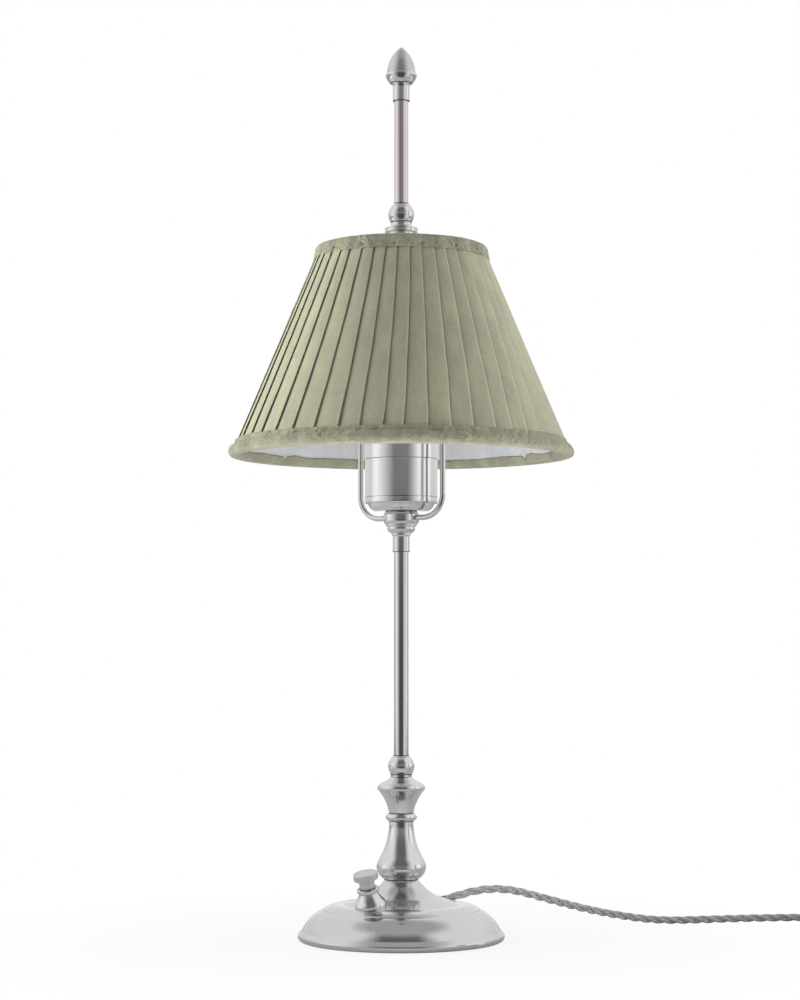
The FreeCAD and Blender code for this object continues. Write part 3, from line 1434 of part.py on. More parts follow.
def make_plug(entry):
    """A round earthed plug that lies with its pins along -Y, entered by the cord at its relief."""
    neck = "plug_relief_length"
    grip_low = f"({neck} + plug_grip_length)"
    head_low = f"({grip_low} + plug_taper_length)"
    face = f"({head_low} + plug_head_length)"
    where = {"x": entry.x, "y": entry.y, "z": entry.z, "yaw": "270", "pitch": "90"}
    body = turned("plug_body", [
        ("0", "0"),
        ("plug_relief_radius", "0"),
        ("plug_relief_root_radius", neck),
        ("plug_grip_radius", f"{neck} + 3", "out", "0.8"),
        ("plug_grip_radius", grip_low, "in", "0.8"),
        ("plug_head_radius", head_low, "out", "1"),
        ("plug_head_radius", f"{face} - plug_edge"),
        ("plug_head_radius - plug_edge", face, "round", "plug_edge"),
        ("0", face),
    ], **where)
    for side in ("-", ""):
        slot = sketch_on(body, "clip_slot", "XY_Plane", frame_text("0", "0", face, "0", "0"))
        inner = "(plug_head_radius - plug_clip_thickness)"
        low, high = (f"-{inner} - 4", f"-{inner}") if side else (inner, f"{inner} + 4")
        draw_box(slot, low, "-plug_clip_width / 2", high, "plug_clip_width / 2")
        pocket(body, slot, "plug_clip_length")
    pins = []
    clips = []
    for index, side in enumerate((-1, 1)):
        pin = turned(f"pin_{index + 1}", [
            ("0", "0"),
            ("plug_pin_radius", "0"),
            ("plug_pin_radius", "plug_pin_length - 1"),
            ("plug_pin_radius - 1", "plug_pin_length", "round", "1"),
            ("0", "plug_pin_length"),
        ], **dict(where, x=f"{entry.x} + {side} * plug_pin_pitch / 2", y=f"{entry.y} - {face}"))
        clip = new_body(f"clip_{index + 1}", **where)
        strip = sketch_on(clip, "strip", "XY_Plane", frame_text("0", "0", face, "0", "0"))
        inner = "(plug_head_radius - plug_clip_thickness)"
        low = f"{side} * {inner}" if side > 0 else f"{side} * ({inner} + 0.8)"
        high = f"{side} * ({inner} + 0.8)" if side > 0 else f"{side} * {inner}"
        draw_box(strip, low, "-plug_clip_width / 2 + 0.2", high, "plug_clip_width / 2 - 0.2")
        pad(clip, strip, "plug_clip_length", up=False)
        pins.append(pin)
        clips.append(clip)
    for member in pins + clips:
        pieces.remove(member)
    group("plug_pins", pins)
    group("plug_earth_clips", clips)


# ---------------------------------------------------------------- build, check and write

make_base_shell()
make_base_weight()
make_base_fixings()
make_baluster()
make_stem()
make_yoke()
make_lampholder()
make_bulb()
make_shade_lining()
make_shade_cover()
make_shade_frame()
make_bands()
make_top()
make_switch()
make_wiring()
make_cord_outlet()
make_plug(make_cord())
doc.recompute()

for item in doc.Objects:
    if "Invalid" in item.State or "Error" in item.State:
        raise RuntimeError(f"{item.Label} failed: {item.State}")
for piece in pieces:
    if piece.Shape.isNull() or not piece.Shape.isValid():
        raise RuntimeError(f"{piece.Label} has no sound solid")

os.makedirs("parts", exist_ok=True)
for piece in pieces:
    piece.Shape.exportStep(f"parts/{piece.Label}.step")
print(len(pieces), "pieces written")
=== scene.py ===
"""The looks of a candlestick table lamp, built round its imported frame.

Lengths are in metres, or in millimetres where a name ends in mm. The lamp stands on the Z axis and
its front is -Y.
"""

import json
import math

import bpy
import numpy as np
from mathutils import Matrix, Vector, noise


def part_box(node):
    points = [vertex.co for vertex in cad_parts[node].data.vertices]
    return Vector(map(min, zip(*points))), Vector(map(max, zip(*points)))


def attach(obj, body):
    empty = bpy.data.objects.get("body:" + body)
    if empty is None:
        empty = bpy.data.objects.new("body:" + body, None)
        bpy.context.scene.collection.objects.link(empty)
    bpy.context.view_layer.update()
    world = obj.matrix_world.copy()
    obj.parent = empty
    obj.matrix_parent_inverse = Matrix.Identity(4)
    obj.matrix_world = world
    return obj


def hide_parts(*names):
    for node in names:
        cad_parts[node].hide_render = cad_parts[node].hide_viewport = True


MM = 0.001

# The camera, solved from the photograph's ellipses: focal length in pixels of a 1000-pixel height.
FOCAL_PIXELS = 2350
FRAME_PIXELS = 1000
SENSOR_MM = 36
CAMERA_PLACE = (-0.0008, -1.5, 0.1874)
CAMERA_PITCH = 3.507

# The shade's fold line, where the pleats' edges lie, from its bottom rim up.
SHADE_HEIGHT = 136.0 * MM
SHADE_BOTTOM_RADIUS = 109.4 * MM
SHADE_TOP_RADIUS = 52.5 * MM
SHADE_SLOPE = (SHADE_BOTTOM_RADIUS - SHADE_TOP_RADIUS) / SHADE_HEIGHT
SHADE_MEAN_RADIUS = 85 * MM

# The pleats: their number, the first one's turn and their lean over the height, in degrees.
PLEATS = 47
PLEAT_PHASE = 4.05
PLEAT_LEAN = 5.5
PLEAT_ROWS = 56
COVER_MARGIN = 1.2 * MM
# Across one pleat: (share of its width, depth below the fold line in millimetres, 1 where a
# highlight is painted along the fold's edge and -1 where shade is painted under it).
PLEAT_PANEL = [(0.03, 1.20, -0.7), (0.10, 1.02, -0.1), (0.24, 0.76, 0), (0.42, 0.50, 0),
               (0.60, 0.28, 0), (0.77, 0.11, 0), (0.90, 0.03, 0.1), (0.965, 0.02, 0.9),
               (0.992, 0.12, 1), (0.995, 0.28, 0), (0.965, 0.40, -0.8), (0.90, 0.52, -1),
               (0.85, 0.78, -1), (0.87, 1.14, -1), (0.94, 1.32, -1)]
# The front pleats' wander from even spacing, in degrees, near the shade's bottom and near its top.
PLEAT_SHIFTS = [(-5.2, -6.4), (-3.6, -5.5), (-3.9, -4.2), (-3.2, -3.2), (-2.7, -3.2),
                (-1.5, -1.75), (-0.15, -1.2), (-0.6, -1.25), (-0.2, -1.2), (-1.0, -1.0),
                (-0.65, -1.6), (-0.3, -0.6), (0.2, 0.0), (0.8, 0.4), (0.6, 1.5), (0.0, 2.6)]
# The height of the lower of the two and the height between them, as shares of the cover's height.
SHIFT_START = 0.14
SHIFT_SPAN = 0.72
# The first pleat past the front ones, and the random wander of those behind, in degrees.
FIRST_BACK_PLEAT = 7
BACK_WANDER = 1.2

# The bands' outlines, from the outer leg's edge, round the rim, to the inner leg's edge: (inset
# inside the fold line, distance from the rim).
BOTTOM_OUTLINE_MM = [(0.3, 11.2), (-0.5, 11.35), (-0.72, 10.6), (-0.74, 9.2), (-0.45, 8.3),
                     (-1.75, 7.3), (-2.5, 6.2), (-2.75, 4.7), (-2.3, 2.7), (-1.1, 0.9),
                     (1.0, 0.15), (4.2, 0.1), (6.0, 0.6), (6.7, 2.2), (6.75, 4.0), (6.65, 5.2),
                     (6.2, 6.0)]
TOP_OUTLINE_MM = [(0.2, 9.1), (-0.4, 9.25), (-0.5, 8.4), (-0.85, 6.4), (-1.35, 4.4),
                  (-1.85, 2.5), (-1.6, 0.9), (-0.4, 0.15), (2.0, 0.1), (4.6, 0.2), (6.0, 0.7),
                  (6.6, 2.2), (6.7, 4.0), (6.2, 5.8)]
# Where hidden stitches pull a band in and where two lengths of its cloth meet, in degrees.
BOTTOM_STITCHES = [-46.1, -18.4, 12.0, 41.6, 72.0, 101.0, 133.0, 165.0, -168.0, -137.0, -108.0,
                   -77.0]
BOTTOM_SEAMS = [-130.0, 126.0]
TOP_STITCHES = [-49.4, -25.8, -3.9, 13.2, 37.4, 58.7, 84.0, 109.0, 131.0, 158.0, -178.0, -152.0,
                -127.0, -101.0, -76.0]
TOP_SEAMS = [-150.0]
BAND_ROWS = 48
BAND_AROUND = 900

# The cord: its strands, each this far off its middle, and how finely they are drawn.
CORD_DIAMETER = 5.2 * MM
CORD_STEP = 1.3 * MM
STRANDS = 3
STRAND_LAY = 27.7 * MM
STRAND_OFFSET = 1.38 * MM
STRAND_RADIUS = 1.22 * MM
STRAND_SIDES = 10
# Where it passes the base's skin, its way there in degrees, and its straight run's two ends.
OUTLET_MM = (28.684, 3.522, 26.10)
OUTLET_TURN = 7.0
OUTLET_RISE = 16.0
OUTLET_RUN_MM = (-13.6, 6.5)
# Its laid route to the coil, the coil, and from the coil's end to the plug.
LEAD_ROUTE_MM = [
    (52.0, 9.3, 31.8),
    (70.0, 18.0, 30.6),
    (88.0, 28.5, 25.0),
    (106.0, 42.0, 18.9),
    (125.0, 56.0, 13.0),
    (144.0, 69.5, 8.2),
    (163.0, 80.0, 4.4),
    (182.0, 87.2, 2.8),
    (204.0, 93.6, 2.7),
    (227.0, 99.4, 2.7),
    (250.0, 103.4, 2.7),
    (272.0, 105.5, 2.7),
    (292.0, 106.0, 2.7),
]
COIL_START_MM = (316.0, 106.0, 2.7)
COIL_INNER_MM = 20.9
COIL_PITCH_MM = 5.7
COIL_HALF_TURNS = 7
COIL_CORNERS = 8
TAIL_ROUTE_MM = [
    (0.0, -14.0, 0.0),
    (-4.5, -30.0, 3.4),
    (-11.5, -46.0, 8.0),
    (-14.0, -62.0, 10.3),
    (-14.0, -76.0, 10.3),
]

# Where two turned pieces meet, a thin dark ring of painted shade: (height, radius), and half its
# thickness.
JOINT_SHADE_RINGS_MM = [(38.75, 10.4), (75.5, 7.75), (80.3, 7.75), (105.0, 6.6), (116.6, 4.7), (246.4, 5.05),
             (272.0, 9.75), (458.35, 6.6), (470.39, 4.6), (537.59, 4.95), (549.1, 6.6)]
JOINT_SHADE_ROLL_MM = 0.42
# The soft ridge round the base's kink: (height, radius), and half its thickness.
KINK_MM = (19.4, 48.2)
KINK_ROLL_MM = 1.5

# The studio's light round the lamp: (degrees from the front, towards the right; brightness), level
# with the lamp, a few degrees up and high up. Two soft boxes stand beside it; its front is dim.
LIGHT_LOW = [(-180, 0.95), (-160, 0.55), (-112, 0.52), (-96, 1.05), (-84, 1.1), (-60, 0.8),
             (-49, 0.52), (-32, 0.2), (-24, 0.09), (20, 0.07), (28, 0.2), (49, 0.76), (62, 1.05),
             (71, 0.35), (77, 0.9), (84, 1.2), (96, 1.1), (112, 0.55), (160, 0.55), (180, 0.95)]
LIGHT_HIGH = [(-180, 0.95), (-160, 0.8), (-108, 0.8), (-98, 1.08), (-84, 1.15), (-65, 0.87),
              (-51, 0.67), (-34, 0.42), (-22, 0.24), (20, 0.25), (32, 0.46), (46, 0.78), (60, 1.15),
              (71, 0.24), (77, 0.95), (84, 1.25), (97, 1.2), (110, 0.8), (160, 0.8), (180, 0.95)]
LIGHT_STEEP = [(-180, 0.9), (-62, 0.95), (-30, 0.16), (26, 0.16), (58, 0.95), (180, 0.9)]
TOP_LIGHT = (0.48, 0.48, 0.48)
# How far up, as the upward part of a direction, each light gives way to the next.
HIGH_RISE = (0.02, 0.07)
STEEP_RISE = (0.22, 0.42)
TOP_RISE = (0.82, 0.93)
# Each lamp's place, its target, its width and height, its brightness and its colour.
STUDIO_LAMPS = {
    "left_lamp": ((-1.22, 0.12, 0.50), (0, 0, 0.36), 0.8, 1.1, 6.5, (0.97, 1.0, 0.96)),
    "right_lamp": ((1.2, 0.12, 0.50), (0, 0, 0.36), 0.8, 1.1, 3.2, (1.0, 1.0, 1.0)),
    "front_fill": ((0, -0.22, 0.012), (0, 0.05, 0.33), 0.3, 0.3, 7.0, (1.0, 1.0, 1.0)),
}
FLOOR_SIDE = 3.0
FLOOR_FRONT = -0.42
FLOOR_COLOUR = (0.42, 0.42, 0.42, 1)
# The floor's own white, as a share: near the lamp and far off, and how much of it metal mirrors.
FLOOR_WHITE = (0.90, 1.0)
FLOOR_FADE = (0.07, 0.30)
FLOOR_MIRRORED = 0.12

# The frame's nodes that the polished metal doesn't mirror, so that it shows the studio alone.
UNMIRRORED = ("shade_ring_bottom", "shade_ring_top", "shade_struts", "shade_spider")
# Edges of the frame's nodes that are sharper than this, in degrees, stay crisp.
CRISP_ANGLE = 13

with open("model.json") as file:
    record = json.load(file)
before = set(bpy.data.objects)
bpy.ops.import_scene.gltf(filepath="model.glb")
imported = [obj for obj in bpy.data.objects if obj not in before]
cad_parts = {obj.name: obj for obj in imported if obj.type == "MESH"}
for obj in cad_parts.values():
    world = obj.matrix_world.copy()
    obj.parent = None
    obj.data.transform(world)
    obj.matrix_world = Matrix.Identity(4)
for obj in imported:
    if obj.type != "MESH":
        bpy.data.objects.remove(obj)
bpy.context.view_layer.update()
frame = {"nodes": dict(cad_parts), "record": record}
nodes = frame["nodes"]
scene = bpy.context.scene


# ---------------------------------------------------------------- meshes

def mesh_object(name, vertices, faces, body):
    """A smooth mesh piece that rides on a body."""
    mesh = bpy.data.meshes.new(name)
    mesh.from_pydata([tuple(point) for point in vertices], [], faces)
    mesh.validate()
    mesh.shade_smooth()
    piece = bpy.data.objects.new(name, mesh)
    scene.collection.objects.link(piece)
    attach(piece, body)
    return piece


def polar(radius, angle, height):
    """A point at a radius and an angle round the lamp's axis."""
    return radius * math.cos(angle), radius * math.sin(angle), height


def ring_faces(rings, around, closed_across=False):
    """Quads over rings of points that each close on themselves."""
    faces = []
    last = rings if closed_across else rings - 1
    for ring in range(last):
        low = ring * around
        high = ((ring + 1) % rings) * around
        for index in range(around):
            after = (index + 1) % around
            faces.append((low + index, low + after, high + after, high + index))
    return faces


def moved_faces(faces, base):
    """Faces whose points are counted from a later first point."""
    return [tuple(base + corner for corner in face) for face in faces]


def even_lengths(marks):
    """The length run along a line at each of its points."""
    return np.concatenate([[0], np.cumsum(np.linalg.norm(np.diff(marks, axis=0), axis=1))])


def wave(ring_mm, angle, along_mm, length_mm, seed, stretch=1.0):
    """Smooth noise over a ring of cloth, its waves of one length: the same at 0 and a full turn."""
    turns = ring_mm / length_mm
    return noise.noise(Vector((math.cos(angle) * turns, math.sin(angle) * turns,
                               along_mm / (length_mm * stretch) + seed)))


def smooth_step(value, low, high):
    """0 on low's side, 1 on high's side, eased between."""
    share = min(max((value - low) / (high - low), 0.0), 1.0)
    return share * share * (3 - 2 * share)


# ---------------------------------------------------------------- materials

def new_material(name):
    """An empty node material with its Principled shader."""
    material = bpy.data.materials.new(name)
    material.use_nodes = True
    tree = material.node_tree
    shader = tree.nodes["Principled BSDF"]
    return material, tree, shader


def add_node(tree, kind, links=None, values=None, **settings):
    """A node with its settings, unlinked values, and links by input name or number."""
    made = tree.nodes.new(kind)
    for key, value in settings.items():
        setattr(made, key, value)
    for key, value in (values or {}).items():
        made.inputs[key].default_value = value
    for key, source in (links or {}).items():
        tree.links.new(source, made.inputs[key])
    return made


def object_place(tree):
    """The point's place on its piece, in metres."""
    return add_node(tree, "ShaderNodeTexCoord").outputs["Object"]


def scaled(tree, vector, scale):
    """A place scaled along each axis."""
    mapping = add_node(tree, "ShaderNodeMapping", {"Vector": vector}, {"Scale": scale})
    return mapping.outputs["Vector"]


def noise_value(tree, vector, scale, detail=2.0, roughness=0.5):
    """A noise texture's value."""
    values = {"Scale": scale, "Detail": detail, "Roughness": roughness}
    return add_node(tree, "ShaderNodeTexNoise", {"Vector": vector}, values).outputs["Fac"]


def ramp(tree, factor, stops):
    """A colour ramp through (position, colour) stops in rising order."""
    made = add_node(tree, "ShaderNodeValToRGB", {"Fac": factor})
    elements = made.color_ramp.elements
    for element, (position, colour) in zip((elements[0], elements[1]), (stops[0], stops[-1])):
        element.position = position
        element.color = (*colour, 1.0)
    for position, colour in stops[1:-1]:
        elements.new(position).color = (*colour, 1.0)
    return made.outputs["Color"]


def map_value(tree, value, from_low, from_high, to_low, to_high):
    """A value carried from one range to another."""
    values = {1: from_low, 2: from_high, 3: to_low, 4: to_high}
    return add_node(tree, "ShaderNodeMapRange", {0: value}, values).outputs[0]


def math_value(tree, operation, first, second=None):
    """A Math node over values or numbers."""
    made = add_node(tree, "ShaderNodeMath", operation=operation)
    for socket, given in zip(made.inputs, (first, second)):
        if given is None:
            continue
        if isinstance(given, (int, float)):
            socket.default_value = given
        else:
            tree.links.new(given, socket)
    return made.outputs[0]


def mix_colour(tree, factor, first, second):
    """Two colours mixed, each a socket or a plain colour."""
    made = add_node(tree, "ShaderNodeMix", data_type="RGBA", blend_type="MIX")
    sockets = (made.inputs[0], made.inputs[6], made.inputs[7])
    for socket, given in zip(sockets, (factor, first, second)):
        if isinstance(given, (int, float)):
            socket.default_value = given
        elif isinstance(given, tuple):
            socket.default_value = (*given, 1.0)
        else:
            tree.links.new(given, socket)
    return made.outputs[2]


def bump(tree, height, strength, distance, under=None):
    """A bump from a height, over an earlier bump."""
    links = {"Height": height}
    if under is not None:
        links["Normal"] = under
    values = {"Strength": strength, "Distance": distance}
    return add_node(tree, "ShaderNodeBump", links, values).outputs["Normal"]


def metal(name, light, dark, rough_low, rough_high, marks=0.0):
    """Plated metal: cloudy colour, uneven polish, faint marks of the lathe round the axis."""
    patch_scale = 28.0
    material, tree, shader = new_material(name)
    place = object_place(tree)
    cloud = noise_value(tree, place, patch_scale, 3.0)
    shader.inputs["Metallic"].default_value = 1.0
    tree.links.new(mix_colour(tree, cloud, dark, light), shader.inputs["Base Color"])
    grime = noise_value(tree, place, patch_scale * 9, 4.0, 0.6)
    rough = map_value(tree, grime, 0.3, 0.75, rough_low, rough_high)
    tree.links.new(rough, shader.inputs["Roughness"])
    if marks:
        split = add_node(tree, "ShaderNodeSeparateXYZ", {0: place})
        across = math_value(tree, "SQRT", math_value(
            tree, "ADD", math_value(tree, "MULTIPLY", split.outputs[0], split.outputs[0]),
            math_value(tree, "MULTIPLY", split.outputs[1], split.outputs[1])))
        ring = add_node(tree, "ShaderNodeCombineXYZ", {0: across, 2: split.outputs[2]})
        lathe = noise_value(tree, ring.outputs[0], 2600.0, 2.0, 0.7)
        tree.links.new(bump(tree, lathe, marks, 0.00006), shader.inputs["Normal"])
    return material


def plain(name, light, dark, roughness, scale=60.0, bump_depth=0.00005, coat=0.0):
    """A moulded or painted surface with slight unevenness of colour and surface."""
    material, tree, shader = new_material(name)
    place = object_place(tree)
    cloud = noise_value(tree, place, scale, 4.0, 0.6)
    tree.links.new(mix_colour(tree, cloud, dark, light), shader.inputs["Base Color"])
    rough = map_value(tree, cloud, 0.3, 0.7, roughness - 0.06, roughness + 0.06)
    tree.links.new(rough, shader.inputs["Roughness"])
    grain = noise_value(tree, place, scale * 30, 3.0)
    tree.links.new(bump(tree, grain, 0.25, bump_depth), shader.inputs["Normal"])
    shader.inputs["Coat Weight"].default_value = coat
    return material


def weave_value(tree, place, thread_mm, diagonal):
    """Crossed threads up and round a cone, 1 on top of both and 0 between them."""
    split = add_node(tree, "ShaderNodeSeparateXYZ", {0: place})
    angle = math_value(tree, "ARCTAN2", split.outputs[1], split.outputs[0])
    first = math_value(tree, "MULTIPLY", angle, SHADE_MEAN_RADIUS)
    second = split.outputs[2]
    thread = 2 * math.pi / (thread_mm * MM)
    if diagonal:
        thread /= 1.414
        first, second = (math_value(tree, "ADD", first, second),
                         math_value(tree, "SUBTRACT", first, second))
    warp, weft = [math_value(tree, "ABSOLUTE", math_value(
        tree, "SINE", math_value(tree, "MULTIPLY", way, thread))) for way in (first, second)]
    return math_value(tree, "MULTIPLY", math_value(tree, "ADD", warp, weft), 0.5)


def pleat_tones_and_painted_light(tree, toned):
    """Each pleat's own tone, a painted highlight along each fold's edge and painted shade under
    each fold.
    """
    dye = add_node(tree, "ShaderNodeAttribute", attribute_name="dye").outputs["Fac"]
    toned = mix_colour(tree, map_value(tree, dye, 0.1, 0.9, 0.0, 0.3), toned, (0.52, 0.46, 0.37))
    # 1 along each fold's edge, where a highlight is painted, and -1 under each fold, where shade is
    # painted
    fold = add_node(tree, "ShaderNodeAttribute", attribute_name="fold").outputs["Fac"]
    # a painted highlight along each fold's edge
    painted_crest_highlight = map_value(tree, fold, 0.0, 1.0, 0.0, 0.5)
    toned = mix_colour(tree, painted_crest_highlight, toned, (0.86, 0.85, 0.68))
    # painted shade under each fold
    painted_tuck_shade = map_value(tree, fold, 0.0, -1.0, 0.0, 0.5)
    return mix_colour(tree, painted_tuck_shade, toned, (0.10, 0.085, 0.10))


def woven(name, light, dark, thread_mm, sheen, bump_depth, diagonal=False, translucent=0.0,
          slub=0.35, painted_fold_light=False, creases=False):
    """Cloth: crossed threads with painted shade between, uneven dye, slubs, pleat tones and painted
    light or fine creases.
    """
    material, tree, shader = new_material(name)
    place = object_place(tree)
    weave = weave_value(tree, place, thread_mm, diagonal)
    cloud = noise_value(tree, scaled(tree, place, (95, 95, 16)), 1.0, 4.0, 0.6)
    threads = noise_value(tree, scaled(tree, place, (900, 900, 90)), 1.0, 3.0, 0.7)
    cross = noise_value(tree, scaled(tree, place, (90, 90, 1400)), 1.0, 3.0, 0.7)
    slubs = math_value(tree, "MULTIPLY", math_value(tree, "ADD", threads, cross), 0.5)
    tone = math_value(tree, "ADD", math_value(tree, "MULTIPLY", cloud, 1 - slub),
                      math_value(tree, "MULTIPLY", slubs, slub))
    toned = ramp(tree, tone, [(0.39, dark), (0.61, light)])
    grain = map_value(tree, noise_value(tree, place, 1500.0, 2.0, 0.6), 0.3, 0.7, 0.12, 0.0)
    toned = mix_colour(tree, grain, toned, (0.0, 0.0, 0.0))
    if painted_fold_light:
        toned = pleat_tones_and_painted_light(tree, toned)
    # painted shade between the threads
    thread_gap_shade = map_value(tree, weave, 0.2, 1.0, 0.16, 0.0)
    shaded = mix_colour(tree, thread_gap_shade, toned, (0.0, 0.0, 0.0))
    tree.links.new(shaded, shader.inputs["Base Color"])
    shader.inputs["Roughness"].default_value = 0.82
    shader.inputs["Specular IOR Level"].default_value = 0.25
    shader.inputs["Sheen Weight"].default_value = sheen
    shader.inputs["Sheen Roughness"].default_value = 0.45
    deep = bump(tree, weave, 0.5, bump_depth)
    if creases:
        rucks = noise_value(tree, scaled(tree, place, (170, 170, 260)), 1.0, 5.0, 0.62)
        ridges = math_value(tree, "ABSOLUTE", math_value(tree, "SUBTRACT", rucks, 0.5))
        deep = bump(tree, ridges, 1.0, 0.0036, deep)
    tree.links.new(bump(tree, slubs, 0.4, bump_depth * 2.5, deep), shader.inputs["Normal"])
    if translucent:
        through = add_node(tree, "ShaderNodeBsdfTranslucent", {"Color": shaded})
        mixed = add_node(tree, "ShaderNodeMixShader",
                         {1: shader.outputs[0], 2: through.outputs[0]}, {0: translucent})
        tree.links.new(mixed.outputs[0], tree.nodes["Material Output"].inputs["Surface"])
    return material


def glass(name):
    """Thin opal glass."""
    material, tree, shader = new_material(name)
    cloud = noise_value(tree, object_place(tree), 30.0, 2.0)
    tree.links.new(mix_colour(tree, cloud, (0.86, 0.86, 0.84), (0.93, 0.93, 0.91)),
                   shader.inputs["Base Color"])
    shader.inputs["Roughness"].default_value = 0.12
    shader.inputs["Transmission Weight"].default_value = 0.35
    shader.inputs["Subsurface Weight"].default_value = 0.2
    shader.inputs["Coat Weight"].default_value = 0.5
    return material


def braid(name):
    """A grey textile braid: short stitches over each strand."""
    material, tree, shader = new_material(name)
    place = object_place(tree)
    cloud = noise_value(tree, place, 260.0, 4.0, 0.65)
    stitch = noise_value(tree, place, 2400.0, 2.0, 0.6)
    tone = math_value(tree, "ADD", math_value(tree, "MULTIPLY", cloud, 0.5),
                      math_value(tree, "MULTIPLY", stitch, 0.5))
    colour = ramp(tree, tone, [(0.36, (0.15, 0.15, 0.155)), (0.66, (0.46, 0.46, 0.465))])
    tree.links.new(colour, shader.inputs["Base Color"])
    shader.inputs["Roughness"].default_value = 0.75
    shader.inputs["Sheen Weight"].default_value = 0.3
    tree.links.new(bump(tree, stitch, 0.6, 0.00018), shader.inputs["Normal"])
    return material


MATERIALS = {
    "polished_nickel": metal("nickel", (0.75, 0.748, 0.742), (0.66, 0.658, 0.652), 0.10, 0.17,
                             0.05),
    "base_nickel": metal("base_nickel", (0.69, 0.688, 0.684), (0.60, 0.598, 0.594), 0.09, 0.15,
                         0.04),
    "holder_nickel": metal("holder_nickel", (0.80, 0.798, 0.792), (0.72, 0.718, 0.712), 0.05,
                           0.11, 0.03),
    "tube_nickel": metal("tube_nickel", (0.75, 0.735, 0.735), (0.68, 0.65, 0.655), 0.10, 0.15),
    "rose_nickel": metal("rose_nickel", (0.74, 0.675, 0.68), (0.66, 0.585, 0.595), 0.10, 0.15),
    "satin_nickel": metal("satin_nickel", (0.72, 0.718, 0.712), (0.58, 0.578, 0.572), 0.34, 0.5,
                          0.25),
    "plain_steel": metal("steel", (0.62, 0.62, 0.63), (0.5, 0.5, 0.51), 0.3, 0.45, 0.2),
    "brass": metal("brass", (0.85, 0.66, 0.32), (0.68, 0.5, 0.22), 0.22, 0.36, 0.1),
    "bulb_cap": metal("cap_metal", (0.8, 0.8, 0.8), (0.66, 0.66, 0.66), 0.25, 0.4, 0.1),
    "cast_weight": plain("cast_iron", (0.10, 0.10, 0.105), (0.05, 0.05, 0.052), 0.6, 80, 0.0003),
    "felt": plain("felt", (0.07, 0.11, 0.085), (0.035, 0.06, 0.045), 0.95, 200, 0.0004),
    "pleated_cloth": woven("pleat_cloth", (0.73, 0.73, 0.50), (0.585, 0.56, 0.425), 0.42, 0.1,
                           0.00010, translucent=0.2, slub=0.5, painted_fold_light=True),
    "band_cloth": woven("band_cloth", (0.52, 0.515, 0.36), (0.38, 0.36, 0.28), 0.42, 0.1,
                        0.00010, creases=True),
    "lining_cloth": woven("lining_cloth", (0.93, 0.93, 0.94), (0.82, 0.82, 0.84), 1.5, 0.1,
                          0.00012, diagonal=True, translucent=0.25, slub=0.2),
    "white_wire": plain("white_enamel", (0.84, 0.84, 0.82), (0.76, 0.76, 0.74), 0.35),
    "ceramic": plain("ceramic", (0.86, 0.85, 0.82), (0.8, 0.79, 0.76), 0.2, coat=0.6),
    "black_moulding": plain("black_moulding", (0.045, 0.045, 0.05), (0.03, 0.03, 0.033), 0.5),
    "grey_moulding": plain("grey_moulding", (0.30, 0.30, 0.30), (0.25, 0.25, 0.25), 0.48),
    "clear_bush": plain("milky_bush", (0.82, 0.82, 0.80), (0.74, 0.74, 0.72), 0.3, coat=0.3),
    "live_wire": plain("brown_sleeve", (0.28, 0.13, 0.06), (0.2, 0.09, 0.04), 0.4),
    "neutral_wire": plain("blue_sleeve", (0.05, 0.18, 0.48), (0.03, 0.13, 0.38), 0.4),
    "bulb_glass": glass("opal_glass"),
}

# The nodes whose finish differs from that of their slot.
NODE_FINISHES = {"lampholder_cap": "holder_nickel", "lampholder_shell": "holder_nickel",
                 "holder_seat": "holder_nickel", "stem_tube": "tube_nickel",
                 "upper_tube": "rose_nickel", "base_shell": "base_nickel"}
SLOTS = {entry["node"]: entry["material_slot"] for entry in frame["record"]["subparts"]}


def dress(piece, material):
    """Gives a frame node its material and smooth shading between its crisp edges."""
    piece.data.materials.clear()
    piece.data.materials.append(material)
    piece.data.polygons.foreach_set("use_smooth", [True] * len(piece.data.polygons))
    weld = piece.modifiers.new("weld", "WELD")
    weld.merge_threshold = 0.000002
    edge = piece.modifiers.new("crisp", "EDGE_SPLIT")
    edge.split_angle = math.radians(CRISP_ANGLE)
    edge.use_edge_sharp = False
    even = piece.modifiers.new("even_normals", "WEIGHTED_NORMAL")
    even.keep_sharp = True


for node in nodes:
    kind = NODE_FINISHES.get(node, SLOTS[node])
    if kind in MATERIALS:
        dress(nodes[node], MATERIALS[kind])
for node in UNMIRRORED:
    nodes[node].visible_glossy = False


# ---------------------------------------------------------------- camera

camera = bpy.data.objects.new("camera", bpy.data.cameras.new("camera"))
camera.data.sensor_width = SENSOR_MM
camera.data.lens = SENSOR_MM * FOCAL_PIXELS / FRAME_PIXELS
camera.location = CAMERA_PLACE
camera.rotation_euler = (math.radians(90 + CAMERA_PITCH), 0, 0)
camera.data.clip_start = 0.05
camera.data.clip_end = 50
scene.collection.objects.link(camera)
scene.camera = camera


# ---------------------------------------------------------------- cord

def outlet_place(distance):
    """A point on the cord's straight run out of the base, in millimetres."""
    turn = math.radians(OUTLET_TURN)
    rise = math.radians(OUTLET_RISE)
    across = distance * math.cos(rise)
    x, y, z = OUTLET_MM
    return (x + across * math.cos(turn), y + across * math.sin(turn),
            z + distance * math.sin(rise))


def arc_corners(place, ahead, radius, climb, count):
    """The first points of one of the coil's half turns, in millimetres."""
    x, y, z = place
    tightening = math.cos(math.pi / (2 * COIL_CORNERS))
    corners = []
    for index in range(count):
        share = (index + 0.5) / COIL_CORNERS
        turn = math.pi * share
        across = ahead * math.sin(turn) * radius / tightening
        down = ahead * (1 - math.cos(turn) / tightening) * radius
        corners.append((x + across, y - down, z + climb * share))
    return corners


